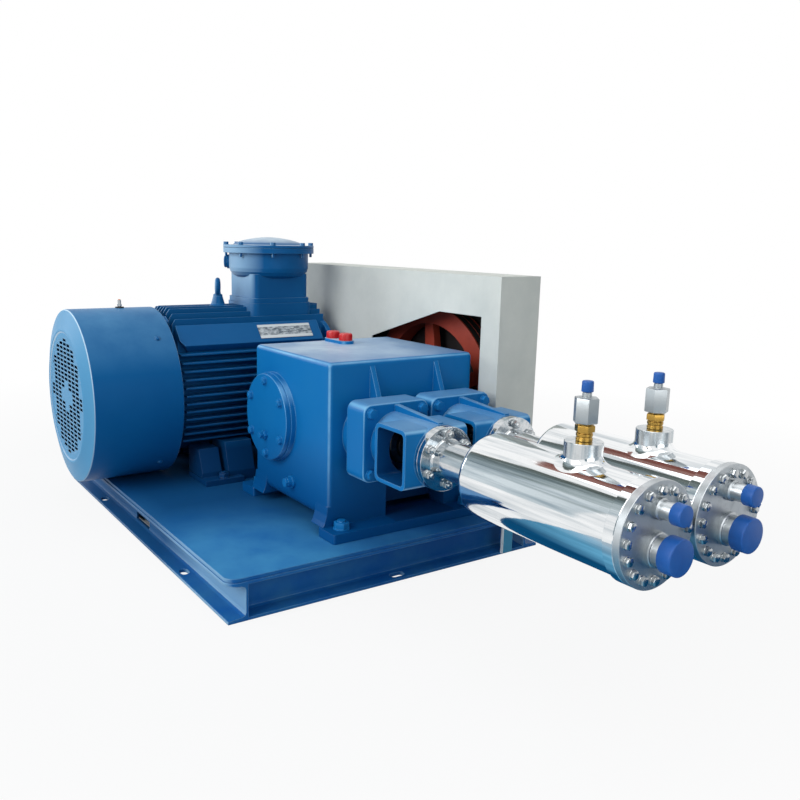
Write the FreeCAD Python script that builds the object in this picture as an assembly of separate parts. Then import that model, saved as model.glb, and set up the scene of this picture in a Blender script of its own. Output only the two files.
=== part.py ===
import FreeCAD, Part
import math
import os

# Reciprocating pump on a skid, two horizontal cold ends, belt driven.
# Millimetres, Z up, origin on the floor at the centre of the skid.
# X runs along the plungers to the cold ends, Y runs along crankshaft and motor.

V = FreeCAD.Vector
os.makedirs("parts", exist_ok=True)

# Skid
SKID_L = 1130.0
SKID_W = 815.0
CH_H = 80.0
CH_B = 43.0
CH_WEB = 5.0
CH_TIP = 6.0
CH_ROOT = 9.5
DECK_T = 8.0
DECK_Z = CH_H + DECK_T
DECK_INSET = 2.0
SKID_Y1 = 407.5
SKID_Y0 = SKID_Y1 - SKID_W
DECK_R = 28.0
ANCHOR_X = 296.0
ANCHOR_INSET = 17.0
SLOT_L = 30.0
SLOT_W = 18.0

# Shafts
AXIS_Z = DECK_Z + 223.0
CRANK_X = 207.0
THROW = 20.0
CYL_Y = (-12.5, 162.5)
MOTOR_X = -253.5
FAN_R = 224.7
FAN_AIR = 0.3
MOTOR_Z = DECK_Z + FAN_R + FAN_AIR
RUN = 0.05
GAP = 0.3

# Crankcase
CC_X0 = 104.0
CC_X1 = 455.0
CC_Y0 = -122.5
CC_Y1 = 272.5
CC_Z0 = DECK_Z + 30.0
CC_Z1 = AXIS_Z + 160.0
WALL = 14.0
EDGE_R = 11.0
BASE_R = 26.0
FILLER = ((130.0, 84.5), (190.0, 84.5))
DRAIN_X = 296.0
DRAIN_Z = CC_Z0 + 54.0
FOOT_T = 21.5
FOOT_Z = DECK_Z + FOOT_T
FOOT_Y0 = -138.0
FOOT_Y1 = 288.0
FOOT_BOLTS_Y = (-100.0, 250.0)
FOOT_BOLTS_X = (83.0, 476.0)
PAD_T = 12.0
COVER_R = 102.5
COVER_T = 12.0
COVER_PCD_R = 86.0
MAIN_R = 30.0
BRG_R = 60.0
BRG_W = 30.0
PIN_R = 26.0
ROD_L = 165.0
ROD_W = 25.0
GUDGEON_R = 9.0
EYE_R = 17.0
XH_R = 57.5
XH_BACK = 35.0
XH_POCKET = 58.0
XH_FRONT = 73.0
GUIDE_X0 = 300.0
BOSS_R = 75.0
BOSS_X = 487.0

# Distance piece
DP_X0 = BOSS_X
DP_FLANGE = 63.0
DP_HALF = 83.5
DP_CORNER = 20.0
DP_R = 65.0
DP_X1 = 700.0
DP_BOLT = 65.0
WIN_X0 = 596.0
WIN_X1 = 699.0
WIN_HALF = 60.0
WIN_OUT = 86.0
WIN_BACK = 66.0
WIN_WALL = 8.0
WIN_R = 14.0
DP_EDGE = 5.0
PISTON_ROD_R = 11.0

# Cold end
FL_R = 64.5
FL_T = 19.0
FL_PCD_R = 50.5
NECK_R = 38.0
JACKET_R = 79.5
JACKET_X0 = 836.0
JACKET_X1 = 1191.5
SHELL = 3.0
SHOULDER = 18.0
COLLAR_R = 84.0
COLLAR_T = 19.0
END_T = 12.5
END_X = JACKET_X1 + END_T
END_PCD_R = 69.5
PLUNGER_R = 20.0
SUCTION_DZ = -21.0
RETURN_DZ = 42.0
BOSS_X_COLD = 1055.0
BOSS_TOP = AXIS_Z + 110.5
BOSS_TOP_R = 31.0
VALVE_TURN = (51.6, 24.0)

# Drive
BIG_R = 250.0
SMALL_R = 80.0
BIG_RIM = 48.0
BELTS = 2
BELT_STEP = 19.0
DRIVE_Y = 363.0
SHEAVE_W = 46.0
GUARD_X0 = -400.0
GUARD_X1 = 536.5
GUARD_Y0 = 278.0
GUARD_Y1 = 400.0
GUARD_Z1 = DECK_Z + 563.0
SHEET = 2.5

# Motor
FAN_DOME = 12.0
FAN_EYE = 172.0
COVER_SCREW_DEG = (45, 135, 225, 313)
COVER_SCREW_Y = -299.0
FAN_Y0 = -481.0
FAN_Y1 = -256.5
FRAME_Y0 = -262.0
FRAME_Y1 = 232.0
CORE_R = 172.0
FIN_R = 207.0
FIN_STEP = 20.5
FIN_T = 4.5
MOTOR_SHAFT_R = 30.0
FOOT_PAD_Z = DECK_Z + 14.0
TB_Y = 96.5
PLUG_DEG = 236.0
PLUG_Z = MOTOR_Z + 344.0
LID_Z = MOTOR_Z + 385.0


def save(name, shape):
    if isinstance(shape, (list, tuple)):
        shape = Part.makeCompound(list(shape))
    shape.exportStep("parts/" + name + ".step")


def box(x0, x1, y0, y1, z0, z1):
    return Part.makeBox(x1 - x0, y1 - y0, z1 - z0, V(x0, y0, z0))


def rod(axis, centre, r, length):
    """Cylinder from its start point along X, Y or Z."""
    d = {"x": V(1, 0, 0), "y": V(0, 1, 0), "z": V(0, 0, 1)}[axis]
    return Part.makeCylinder(r, length, V(*centre), d)


def tube(axis, centre, r_out, r_in, length):
    return rod(axis, centre, r_out, length).cut(rod(axis, centre, r_in, length))


def prism(points, direction):
    pts = [V(*p) for p in points]
    return Part.Face(Part.makePolygon(pts + [pts[0]])).extrude(V(*direction))


def hexagon(axis, centre, flats, height, turn=0.0):
    """Hexagonal prism, its centre line along X, Y or Z."""
    r = flats / math.sqrt(3.0)
    pts = []
    for k in range(6):
        a = math.radians(60.0 * k + turn)
        c, s = r * math.cos(a), r * math.sin(a)
        off = {"x": (0, c, s), "y": (c, 0, s), "z": (c, s, 0)}[axis]
        pts.append([centre[i] + off[i] for i in range(3)])
    d = {"x": (height, 0, 0), "y": (0, height, 0), "z": (0, 0, height)}[axis]
    return prism(pts, d)


def revolve(profile, axis, origin):
    """Turned part: profile of (along, radius) points round an X, Y or Z axis."""
    ax = {"x": V(1, 0, 0), "y": V(0, 1, 0), "z": V(0, 0, 1)}[axis]
    pts = []
    for a, r in profile:
        off = {"x": (a, 0, r), "y": (r, a, 0), "z": (r, 0, a)}[axis]
        pts.append(V(origin[0] + off[0], origin[1] + off[1], origin[2] + off[2]))
    face = Part.Face(Part.makePolygon(pts + [pts[0]]))
    return face.revolve(V(*origin), ax, 360)


def arc_points(ca, cr, radius, start, end, steps=4):
    """Points of a rounded corner in a turning profile, angles in degrees."""
    out = []
    for k in range(steps + 1):
        t = math.radians(start + (end - start) * k / steps)
        out.append((ca + radius * math.cos(t), cr + radius * math.sin(t)))
    return out


def fillet_where(shape, radius, test):
    edges = [e for e in shape.Edges if test(e)]
    return shape.makeFillet(radius, edges)


def rounded_plate(x0, x1, y0, y1, z0, z1, r, axis="z"):
    b = box(x0, x1, y0, y1, z0, z1)
    k = "xyz".index(axis)

    def along(e):
        d = e.tangentAt(e.FirstParameter)
        return abs((d.x, d.y, d.z)[k]) > 0.99

    return fillet_where(b, r, along)


def slot_tool(x, y, z0, z1, length, width, along):
    r = width / 2.0
    h = (length - width) / 2.0
    if along == "x":
        body = box(x - h, x + h, y - r, y + r, z0, z1)
        ends = [(x - h, y), (x + h, y)]
    else:
        body = box(x - r, x + r, y - h, y + h, z0, z1)
        ends = [(x, y - h), (x, y + h)]
    for ex, ey in ends:
        body = body.fuse(rod("z", (ex, ey, z0), r, z1 - z0))
    return body


def polar(cx, cz, r, deg):
    a = math.radians(deg)
    return cx + r * math.cos(a), cz + r * math.sin(a)


# Skid

def channel_profile():
    """Rolled channel section, u from flange tips to the back of the web."""
    face = CH_B - CH_WEB
    return [(0, 0), (0, CH_TIP), (face - 8, CH_ROOT - 1), (face - 2, CH_ROOT + 2), (face, CH_ROOT + 8),
            (face, CH_H - CH_ROOT - 8), (face - 2, CH_H - CH_ROOT - 2), (face - 8, CH_H - CH_ROOT + 1),
            (0, CH_H - CH_TIP), (0, CH_H), (CH_B, CH_H), (CH_B, 0)]


def side_channel(sign):
    y = SKID_Y1 if sign > 0 else SKID_Y0
    pts = [(-SKID_L / 2.0, y - sign * u, z) for u, z in channel_profile()]
    ch = prism(pts, (SKID_L, 0, 0))
    web = y - sign * (CH_B - CH_WEB / 2.0)
    ch = ch.cut(box(-85, 12, web - 4, web + 4, 11, 29))
    for x in (-ANCHOR_X, ANCHOR_X):
        ch = ch.cut(slot_tool(x, y - sign * ANCHOR_INSET, -1, 15, SLOT_L, SLOT_W, "x"))
    return ch


def end_channel(sign):
    x = sign * SKID_L / 2.0
    pts = [(x - sign * u, SKID_Y0 + CH_B, z) for u, z in channel_profile()]
    ch = prism(pts, (0, SKID_W - 2 * CH_B, 0))
    middle = (SKID_Y0 + SKID_Y1) / 2
    return ch.cut(slot_tool(x - sign * ANCHOR_INSET, middle, -1, 15, SLOT_L + 6, SLOT_W, "y"))


def cross_member(x):
    pts = [(x + u, SKID_Y0 + CH_B, z) for u, z in channel_profile()]
    return prism(pts, (0, SKID_W - 2 * CH_B, 0))


def corner_mask():
    """Block above the lower flanges with the deck outline rounded off."""
    inner = rounded_plate(-SKID_L / 2, SKID_L / 2, SKID_Y0, SKID_Y1, 50, CH_H + 1, DECK_R)
    outer = box(-SKID_L / 2 - 1, SKID_L / 2 + 1, SKID_Y0 - 1, SKID_Y1 + 1, 50, CH_H + 2)
    return outer.cut(inner)


def skid_frame():
    parts = [side_channel(-1), side_channel(1), end_channel(-1), end_channel(1), cross_member(-20)]
    parts.append(box(SKID_L / 2 - 1, SKID_L / 2 + 6, 290, 321, 4, CH_H - 4))
    frame = parts[0]
    for p in parts[1:]:
        frame = frame.fuse(p)
    frame = frame.cut(corner_mask())
    return frame.cut(sheave_slot(AXIS_Z - BIG_R - 6, CH_H + 1)).removeSplitter()


def deck_plate():
    i = DECK_INSET
    deck = rounded_plate(-SKID_L / 2 + i, SKID_L / 2 - i, SKID_Y0 + i, SKID_Y1 - i, CH_H, DECK_Z, DECK_R - i)
    return deck.cut(sheave_slot(CH_H - 1, DECK_Z + 1))


def sheave_slot(z0, z1):
    """Room for the bottom of the large sheave, through the deck and the channel under it."""
    half = math.sqrt((BIG_R + 6) ** 2 - (AXIS_Z - DECK_Z) ** 2) + 4
    w = SHEAVE_W / 2.0 + 6
    return rounded_plate(CRANK_X - half, CRANK_X + half, DRIVE_Y - w, DRIVE_Y + w, z0, z1, 8)


# Motor

def motor_fins():
    fins = []
    for k in range(12):
        dz = (k - 5.5) * FIN_STEP
        reach = math.sqrt(FIN_R ** 2 - dz ** 2)
        inner = math.sqrt(CORE_R ** 2 - dz ** 2) - 4.0
        for s in (-1, 1):
            x0, x1 = sorted((MOTOR_X + s * inner, MOTOR_X + s * reach))
            z = MOTOR_Z + dz
            fins.append(box(x0, x1, -242, 226, z - FIN_T / 2, z + FIN_T / 2))
    tops = (225.0, 225.0, 222.0, 211.0, 198.0)
    for k, top in enumerate(tops):
        dx = 10.25 + 20.5 * k
        base = math.sqrt(CORE_R ** 2 - dx ** 2) - 4.0
        for s in (-1, 1):
            x = MOTOR_X + s * dx
            pts = [(x - FIN_T / 2, -236, MOTOR_Z + base), (x - FIN_T / 2, -236, MOTOR_Z + top - 14),
                   (x - FIN_T / 2, -226, MOTOR_Z + top), (x - FIN_T / 2, 226, MOTOR_Z + top),
                   (x - FIN_T / 2, 226, MOTOR_Z + base)]
            fins.append(prism(pts, (FIN_T, 0, 0)))
    return fins


def motor_panel(s):
    """Flat shoulder pad between the side fins and the top fins."""
    pts = [(114.5, 184), (156.5, 134), (128, 108), (88, 146)]
    pad = prism([(MOTOR_X + s * a, -234, MOTOR_Z + b) for a, b in pts], (0, 424, 0))
    x, z = MOTOR_X + s * 157, MOTOR_Z + 133
    cut = prism([(x, -240, z - 20), (x, -240, z + 22), (x, -208, z - 20)], (s * 30, 0, 0))
    cut.translate(V(-s * 29, 0, 0))
    return pad.cut(cut)


def motor_foot(y0, y1, x_out, z_top, s):
    """Tapered foot column on a pad, on one side of the frame."""
    x = MOTOR_X
    pts = [(x + s * (x_out - 24), y0, z_top), (x + s * x_out, y0, DECK_Z + 26), (x + s * x_out, y0, DECK_Z),
           (x + s * 110, y0, DECK_Z), (x + s * 110, y0, z_top)]
    return prism(pts, (0, y1 - y0, 0))


def motor_frame():
    core = rod("y", (MOTOR_X, FRAME_Y0, MOTOR_Z), CORE_R, FRAME_Y1 - FRAME_Y0)
    parts = motor_fins()
    parts += [motor_panel(1), motor_panel(-1)]
    parts.append(rod("y", (MOTOR_X, FRAME_Y0, MOTOR_Z), 196, 14))
    parts.append(rod("y", (MOTOR_X, FRAME_Y1 - 14, MOTOR_Z), 200, 14))
    for s in (-1, 1):
        for y0, y1 in ((-203, -148), (155, 210)):
            parts.append(motor_foot(y0, y1, 203, MOTOR_Z - 139, s))
        for y0, y1 in ((-136, -60), (67, 143)):
            parts.append(motor_foot(y0, y1, 221, MOTOR_Z - 123, s))
        x0, x1 = sorted((MOTOR_X + s * 120, MOTOR_X + s * 241))
        for y0, y1 in ((-208, -100), (107, 215)):
            parts.append(box(x0, x1, y0, y1, DECK_Z, FOOT_PAD_Z))
    eye_seat = [(150, 0), (150, 26), (222, 26), (229, 19), (250, 13), (250, 0)]
    parts.append(revolve(eye_seat, "z", (MOTOR_X, -64, MOTOR_Z)))
    parts.append(box(MOTOR_X - 33, MOTOR_X + 33, FRAME_Y1 - 14, FRAME_Y1 + 8, MOTOR_Z + 195, MOTOR_Z + 224))
    seat = (MOTOR_X - 88, MOTOR_X + 88, TB_Y - 97, TB_Y + 97)
    parts.append(rounded_plate(*seat, MOTOR_Z + 140, MOTOR_Z + 232, 24))
    for deg in (65, 115, 245, 295):
        lug = box(-14, 14, FRAME_Y0, FRAME_Y0 + 14, 180, FAN_R - SHEET - 0.6)
        lug.rotate(V(0, 0, 0), V(0, 1, 0), 90 - deg)
        lug.translate(V(MOTOR_X, 0, MOTOR_Z))
        parts.append(lug)
    body = core.multiFuse(parts)
    body = body.cut(rod("y", (MOTOR_X, FRAME_Y0 - 1, MOTOR_Z), 150, FRAME_Y1 - FRAME_Y0 + 2))
    body = body.cut(rod("z", (MOTOR_X, TB_Y, MOTOR_Z + 100), 45, 200))
    holes = [rod("z", (x, y, DECK_Z - 1), 9.3, 30) for x, y in motor_bolt_points()]
    return body.cut(Part.makeCompound(holes))


def motor_bolt_points():
    return [(MOTOR_X + s * 223.5, y) for s in (-1, 1) for y in (-152, 159)]


def motor_end_shield(drive):
    y, s = (FRAME_Y1, 1) if drive else (FRAME_Y0, -1)
    prof = [(0, 66), (0, 192), (s * 8, 192), (s * 20, 120), (s * 26, 80), (s * 26, MOTOR_SHAFT_R + 0.5),
            (s * 20, MOTOR_SHAFT_R + 0.5), (s * 20, 55), (s * -14, 55), (s * -14, 66)]
    return revolve(prof, "y", (MOTOR_X, y, MOTOR_Z))


def motor_rotor():
    y = FRAME_Y0
    prof = [(-170, 0), (-170, 20), (-106, 20), (-106, 25), (-6, 25), (-6, MOTOR_SHAFT_R), (95, MOTOR_SHAFT_R),
            (95, 36), (100, 100), (100, 104.3), (395, 104.3), (395, 100), (400, 36), (400, MOTOR_SHAFT_R),
            (650, MOTOR_SHAFT_R), (650, 0)]
    return revolve(prof, "y", (MOTOR_X, y, MOTOR_Z))


def motor_stator():
    core = tube("y", (MOTOR_X, -165, MOTOR_Z), 150, 105, 300)
    for y in (-205, 135):
        core = core.fuse(tube("y", (MOTOR_X, y, MOTOR_Z), 140, 112, 40))
    return core


def motor_bearings():
    rings = []
    for y, r in ((FRAME_Y0 - 12, MOTOR_SHAFT_R + RUN), (FRAME_Y1 - 10, MOTOR_SHAFT_R + RUN)):
        rings.append(tube("y", (MOTOR_X, y, MOTOR_Z), 55, r, 26))
    return rings


def cooling_fan():
    hub = tube("y", (MOTOR_X, -430, MOTOR_Z), 44, 20, 60)
    disc = tube("y", (MOTOR_X, -386, MOTOR_Z), 150, 43, 5)
    blades = []
    for k in range(7):
        b = box(38, 172, -430, -383, -2.5, 2.5)
        b.rotate(V(0, 0, 0), V(0, 1, 0), k * 360.0 / 7)
        b.translate(V(MOTOR_X, 0, MOTOR_Z))
        blades.append(b)
    return hub.multiFuse([disc] + blades)


def fan_cover():
    r, t = FAN_R, SHEET
    d, e = FAN_DOME, FAN_EYE
    prof = [(FAN_Y1 - FAN_Y0, r), (5, r)]
    prof += arc_points(5, r - 5, 5, 90, 165)[1:]
    prof += [(-d, e), (-d + 3, e - 4), (-d + 3, 0), (-d + 3 + t, 0), (-d + 3 + t, e - 3), (-d + t, e + 2)]
    prof += [(2.4, r - 6), (5, r - t), (FAN_Y1 - FAN_Y0, r - t)]
    cover = revolve(prof, "y", (MOTOR_X, FAN_Y0, MOTOR_Z))
    tools = []
    for row in range(-3, 4):
        for col in range(-2, 3):
            x, z = col * 62.0, row * 42.0
            corner = math.hypot(abs(x) + 27, abs(z) + 14)
            if corner < 162 and math.hypot(x, z) > 20:
                x, z = x + MOTOR_X, z + MOTOR_Z
                tools.append(box(x - 27, x + 27, FAN_Y0 - d - 1, FAN_Y0 + 4, z - 14, z + 14))
    holes = list(tools)
    holes.append(rod("z", (MOTOR_X, -343, MOTOR_Z + FAN_R - 20), 7, 40))
    for deg in COVER_SCREW_DEG:
        x, z = polar(0, 0, 1, deg)
        start = V(MOTOR_X + (r - 12) * x, COVER_SCREW_Y, MOTOR_Z + (r - 12) * z)
        holes.append(Part.makeCylinder(3.2, 24, start, V(x, 0, z)))
    return cover.cut(Part.makeCompound(holes))


def cover_screws():
    screws = []
    for deg in COVER_SCREW_DEG:
        x, z = polar(0, 0, 1, deg)
        start = V(MOTOR_X + (FAN_R + 0.2) * x, COVER_SCREW_Y, MOTOR_Z + (FAN_R + 0.2) * z)
        head = Part.makeCylinder(6.5, 4.5, start, V(x, 0, z))
        start = V(MOTOR_X + (FAN_R - 2.5) * x, COVER_SCREW_Y, MOTOR_Z + (FAN_R - 2.5) * z)
        shank = Part.makeCylinder(3.0, 5.0, start, V(x, 0, z))
        screws.append(head.fuse(shank))
    return screws


def grease_nipple():
    pipe = rod("z", (MOTOR_X, -343, MOTOR_Z + 110), 4.5, FAN_R + 14 - 110)
    leg = rod("y", (MOTOR_X, -347.5, MOTOR_Z + 114.5), 4.5, 347.5 - 283.6)
    prof = [(0, 0), (0, 6), (4, 7.5), (10, 7.5), (13, 4), (20, 3.2), (22, 0)]
    tip = revolve(prof, "z", (MOTOR_X, -343, MOTOR_Z + FAN_R + 6))
    return pipe.fuse(leg).fuse(tip)


def foot_bolts(points, z, flats, height, below):
    bolts = []
    for x, y in points:
        washer = rod("z", (x, y, z), flats * 0.62, 2.5)
        head = hexagon("z", (x, y, z + 2.5), flats, height, 15)
        shank = rod("z", (x, y, z - below), flats * 0.28, below + 1)
        bolts.append(head.fuse(washer).fuse(shank))
    return bolts


def terminal_box():
    z0 = MOTOR_Z + 232
    neck = rounded_plate(MOTOR_X - 80, MOTOR_X + 80, TB_Y - 89, TB_Y + 89, z0, LID_Z - 72, 20)
    foot = rounded_plate(MOTOR_X - 85, MOTOR_X + 85, TB_Y - 94, TB_Y + 94, z0, z0 + 14, 22)
    prof = [(0, 0), (0, 92), (6, 103), (16, 111), (26, 114), (68, 114), (68, 130), (82, 130), (82, 0)]
    body = neck.fuse(foot).fuse(revolve(prof, "z", (MOTOR_X, TB_Y, LID_Z - 82)))
    a = math.radians(PLUG_DEG)
    boss = Part.makeCylinder(20, 20, V(MOTOR_X + 100 * math.cos(a), TB_Y + 100 * math.sin(a), PLUG_Z),
                             V(math.cos(a), math.sin(a), 0))
    body = body.fuse(boss)
    body = body.cut(rod("z", (MOTOR_X, TB_Y, LID_Z - 58), 100, 80))
    body = body.cut(rounded_plate(MOTOR_X - 70, MOTOR_X + 70, TB_Y - 79, TB_Y + 79, z0 - 1, LID_Z - 53, 14))
    holes = [rod("z", (x, y, LID_Z - 18), 4.3, 30) for x, y in lid_bolt_points()]
    holes.append(Part.makeCylinder(12.2, 60, V(MOTOR_X + 70 * math.cos(a), TB_Y + 70 * math.sin(a), PLUG_Z),
                                   V(math.cos(a), math.sin(a), 0)))
    return body.cut(Part.makeCompound(holes))


def lid_bolt_points():
    return [polar(MOTOR_X, TB_Y, 122.2, 23.6 + 45 * k) for k in range(8)]


def terminal_lid():
    outer = [(0, 0), (0, 130), (8, 130), (8, 108), (12, 98), (17, 86), (23, 66), (28, 40), (31, 0)]
    inner = [(-1, 0), (-1, 92), (6, 92), (11, 80), (17, 62), (22, 38), (25, 0)]
    lid = revolve(outer, "z", (MOTOR_X, TB_Y, LID_Z)).cut(revolve(inner, "z", (MOTOR_X, TB_Y, LID_Z)))
    return lid.cut(Part.makeCompound([rod("z", (x, y, LID_Z - 8), 4.3, 20) for x, y in lid_bolt_points()]))


def lid_bolts():
    bolts = []
    for x, y in lid_bolt_points():
        shank = rod("z", (x, y, LID_Z - 25), 4.0, 40)
        head = hexagon("z", (x, y, LID_Z + 8), 13, 8, 20)
        bolts.append(shank.fuse(head))
    return bolts


def blanking_plug():
    a = math.radians(PLUG_DEG)
    d = V(math.cos(a), math.sin(a), 0)

    def at(r):
        return V(MOTOR_X + r * d.x, TB_Y + r * d.y, PLUG_Z)

    return Part.makeCylinder(17, 7, at(121.5), d).fuse(Part.makeCylinder(12, 26, at(98), d))


def eye_bolt():
    z = MOTOR_Z + 250
    ring = Part.makeTorus(19, 6.5, V(0, 0, 0), V(0, 1, 0))
    ring.rotate(V(0, 0, 0), V(0, 0, 1), -29)
    ring.translate(V(MOTOR_X, -64, z + 26))
    return ring.fuse(rod("z", (MOTOR_X, -64, z), 13, 5)).fuse(rod("z", (MOTOR_X, -64, z + 4), 8, 8))


def nameplate():
    a = math.atan2(50.0, 42.0)
    plate = box(-22, 22, -3, 160, 0, 1.5)
    plate.rotate(V(0, 0, 0), V(0, 1, 0), math.degrees(a))
    plate.translate(V(MOTOR_X + 135.6, 0, MOTOR_Z + 159.1))
    return plate


# Crankcase

def foot_beam(x0, x1, leg_x0, leg_x1):
    foot = rounded_plate(x0, x1, FOOT_Y0, FOOT_Y1, DECK_Z, FOOT_Z, 6)
    near = [(FOOT_Y0 + 4, FOOT_Z - 1), (FOOT_Y0 + 4, FOOT_Z), (FOOT_Y0 + 9, FOOT_Z + 10)]
    near += [(CC_Y0 - 2, FOOT_Z + 26), (CC_Y0, CC_Z0 + 36)]
    far = [(CC_Y1, CC_Z0 + 36), (CC_Y1 + 2.5, FOOT_Z), (CC_Y1 + 2.5, FOOT_Z - 1)]
    leg = prism([(leg_x0, y, z) for y, z in near + far], (leg_x1 - leg_x0, 0, 0))
    return foot.fuse(leg)


def front_rib(y):
    wall, tip = CC_X1 - 2, BOSS_X - 2
    outline = [(wall, CC_Z1 - 8), (tip, AXIS_Z + 78), (tip, AXIS_Z + 50), (wall, AXIS_Z + 50)]
    return prism([(x, y - 6, z) for x, z in outline], (0, 12, 0))


def crankcase():
    body = box(CC_X0, CC_X1, CC_Y0, CC_Y1, CC_Z0, CC_Z1)
    body = fillet_where(body, BASE_R, lambda e: e.BoundBox.ZMax < CC_Z0 + 1 and e.BoundBox.YLength < 1)
    body = fillet_where(body, EDGE_R, lambda e: e.BoundBox.ZMin > CC_Z0 + 1 or e.BoundBox.ZLength > 200)
    parts = [foot_beam(CC_X1 - 15, 507, CC_X1 - 52, CC_X1), foot_beam(52, CC_X0 + 15, CC_X0, CC_X0 + 62)]
    parts.append(rod("y", (CRANK_X, CC_Y0 - PAD_T, AXIS_Z), COVER_R + 3, 30))
    parts.append(rod("y", (CRANK_X, CC_Y1 - 18, AXIS_Z), COVER_R + 3, 30))
    for y in CYL_Y:
        parts.append(rod("x", (CC_X1 - 15, y, AXIS_Z), BOSS_R, BOSS_X - CC_X1 + 15))
        parts.append(front_rib(y))
    (xa, ya), (xb, _) = FILLER
    pad = box(xa, xb, ya - 21, ya + 21, CC_Z1 - 3, CC_Z1 + 8)
    parts.append(pad.multiFuse([rod("z", (x, y, CC_Z1 - 3), 21, 11) for x, y in FILLER]))
    body = body.multiFuse(parts)
    hollow = box(CC_X0 + WALL, GUIDE_X0 + 1, CC_Y0 + WALL, CC_Y1 - WALL, CC_Z0 + WALL, CC_Z1 - WALL)
    front = box(GUIDE_X0, CC_X1 - WALL, CC_Y0 + WALL, CC_Y1 - WALL, AXIS_Z - 73, CC_Z1 - WALL)
    for y in CYL_Y:
        front = front.cut(rod("x", (GUIDE_X0 - 1, y, AXIS_Z), XH_R + 10, 200))
    hollow = hollow.fuse(front)
    bosses = [rod("y", (CRANK_X, y, AXIS_Z), BRG_R + 14, 38) for y in (CC_Y0, CC_Y1 - 38)]
    hollow = hollow.cut(Part.makeCompound(bosses))
    body = body.cut(hollow)
    tools = [rod("x", (GUIDE_X0 - 5, y, AXIS_Z), XH_R, 250) for y in CYL_Y]
    tools.append(rod("y", (CRANK_X, CC_Y0 - 20, AXIS_Z), BRG_R, 70))
    tools.append(rod("y", (CRANK_X, CC_Y1 - 50, AXIS_Z), BRG_R, 70))
    tools.append(box(CC_X1 - 62, CC_X1 + 5, 32, 200, FOOT_Z, AXIS_Z - 89))
    tools.append(box(CC_X0 + 30, CC_X1 - 62, CC_Y0 + 30, CC_Y1 - 30, DECK_Z - 1, CC_Z0 - 1))
    for x in FOOT_BOLTS_X:
        for y in FOOT_BOLTS_Y:
            tools.append(rod("z", (x, y, DECK_Z - 1), 10.5, 40))
    for x, y in FILLER:
        tools.append(rod("z", (x, y, CC_Z1 - 20), 10.3, 40))
    tools.append(rod("y", (DRAIN_X, CC_Y0 - 1, DRAIN_Z), 9.3, 20))
    return body.cut(Part.makeCompound(tools))


def cover_bolt_points():
    return [polar(CRANK_X, AXIS_Z, COVER_PCD_R, 92 + 60 * k) for k in range(6)]


def bearing_cover(y, s, shaft_hole):
    prof = [(0, 0), (0, COVER_R), (s * COVER_T, COVER_R), (s * COVER_T, 0)]
    cover = revolve(prof, "y", (CRANK_X, y, AXIS_Z))
    y0 = min(y, y - s * 7)
    cover = cover.fuse(rod("y", (CRANK_X, y0, AXIS_Z), BRG_R - 0.1, 7))
    if shaft_hole:
        cover = cover.cut(rod("y", (CRANK_X, y - 30, AXIS_Z), MAIN_R + 0.6, 60))
    else:
        cover = cover.cut(rod("y", (CRANK_X, y0 - 1, AXIS_Z), MAIN_R + 4, 7))
    return cover


def cover_bolts():
    bolts = []
    for x, z in cover_bolt_points():
        bolts.append(hexagon("y", (x, CC_Y0 - PAD_T - COVER_T - 8, z), 17, 8, 10))
        bolts.append(hexagon("y", (x, CC_Y1 + PAD_T + COVER_T, z), 17, 8, 10))
    return bolts


def cover_fitting():
    y = CC_Y0 - PAD_T - COVER_T
    z = AXIS_Z - 43
    part = hexagon("y", (CRANK_X - 1, y - 7, z), 20, 7, 0).fuse(rod("y", (CRANK_X - 1, y - 18, z), 6, 12))
    return part.fuse(hexagon("y", (CRANK_X - 1, y - 18, z), 14, 5, 0))


def drain_plug():
    x, z = DRAIN_X, DRAIN_Z
    part = rod("y", (x, CC_Y0 - 6, z), 14.5, 6).fuse(rod("y", (x, CC_Y0 - 16, z), 11, 16))
    part = part.fuse(hexagon("y", (x, CC_Y0 - 22, z), 19, 10, 15))
    return part.fuse(rod("y", (x, CC_Y0 - 8, z), 9, 22))


def filler_caps():
    caps = []
    for x, y in FILLER:
        prof = [(-8, 0), (-8, 10), (8, 10), (8, 16.5), (24, 16.5), (26, 14.5), (26, 0)]
        caps.append(revolve(prof, "z", (x, y, CC_Z1)))
    return caps


def crankshaft():
    def part(y0, y1, r, dx=0.0):
        return rod("y", (CRANK_X + dx, y0, AXIS_Z), r, y1 - y0)

    y1, y2 = CYL_Y
    half = ROD_W / 2.0 + 1.0
    web = 14.0
    solids = [part(CC_Y0 - 4, y1 - half - web, MAIN_R), part(y1 - half - web, y1 - half, 52),
              part(y1 - half, y1 + half, PIN_R, THROW), part(y1 + half, y1 + half + web, 52),
              part(y1 + half + web, y2 - half - web, 44), part(y2 - half - web, y2 - half, 52),
              part(y2 - half, y2 + half, PIN_R, -THROW), part(y2 + half, y2 + half + web, 52),
              part(y2 + half + web, 305, MAIN_R), part(305, 388, 27.5)]
    return solids[0].multiFuse(solids[1:])


def main_bearings():
    rings = []
    for y in (CC_Y0 + 2, CC_Y1 - 2 - BRG_W):
        rings.append(tube("y", (CRANK_X, y, AXIS_Z), BRG_R, MAIN_R + RUN, BRG_W))
    return rings


def rod_centres(i):
    x = CRANK_X + (THROW if i == 0 else -THROW)
    return x, x + ROD_L, CYL_Y[i]


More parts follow.
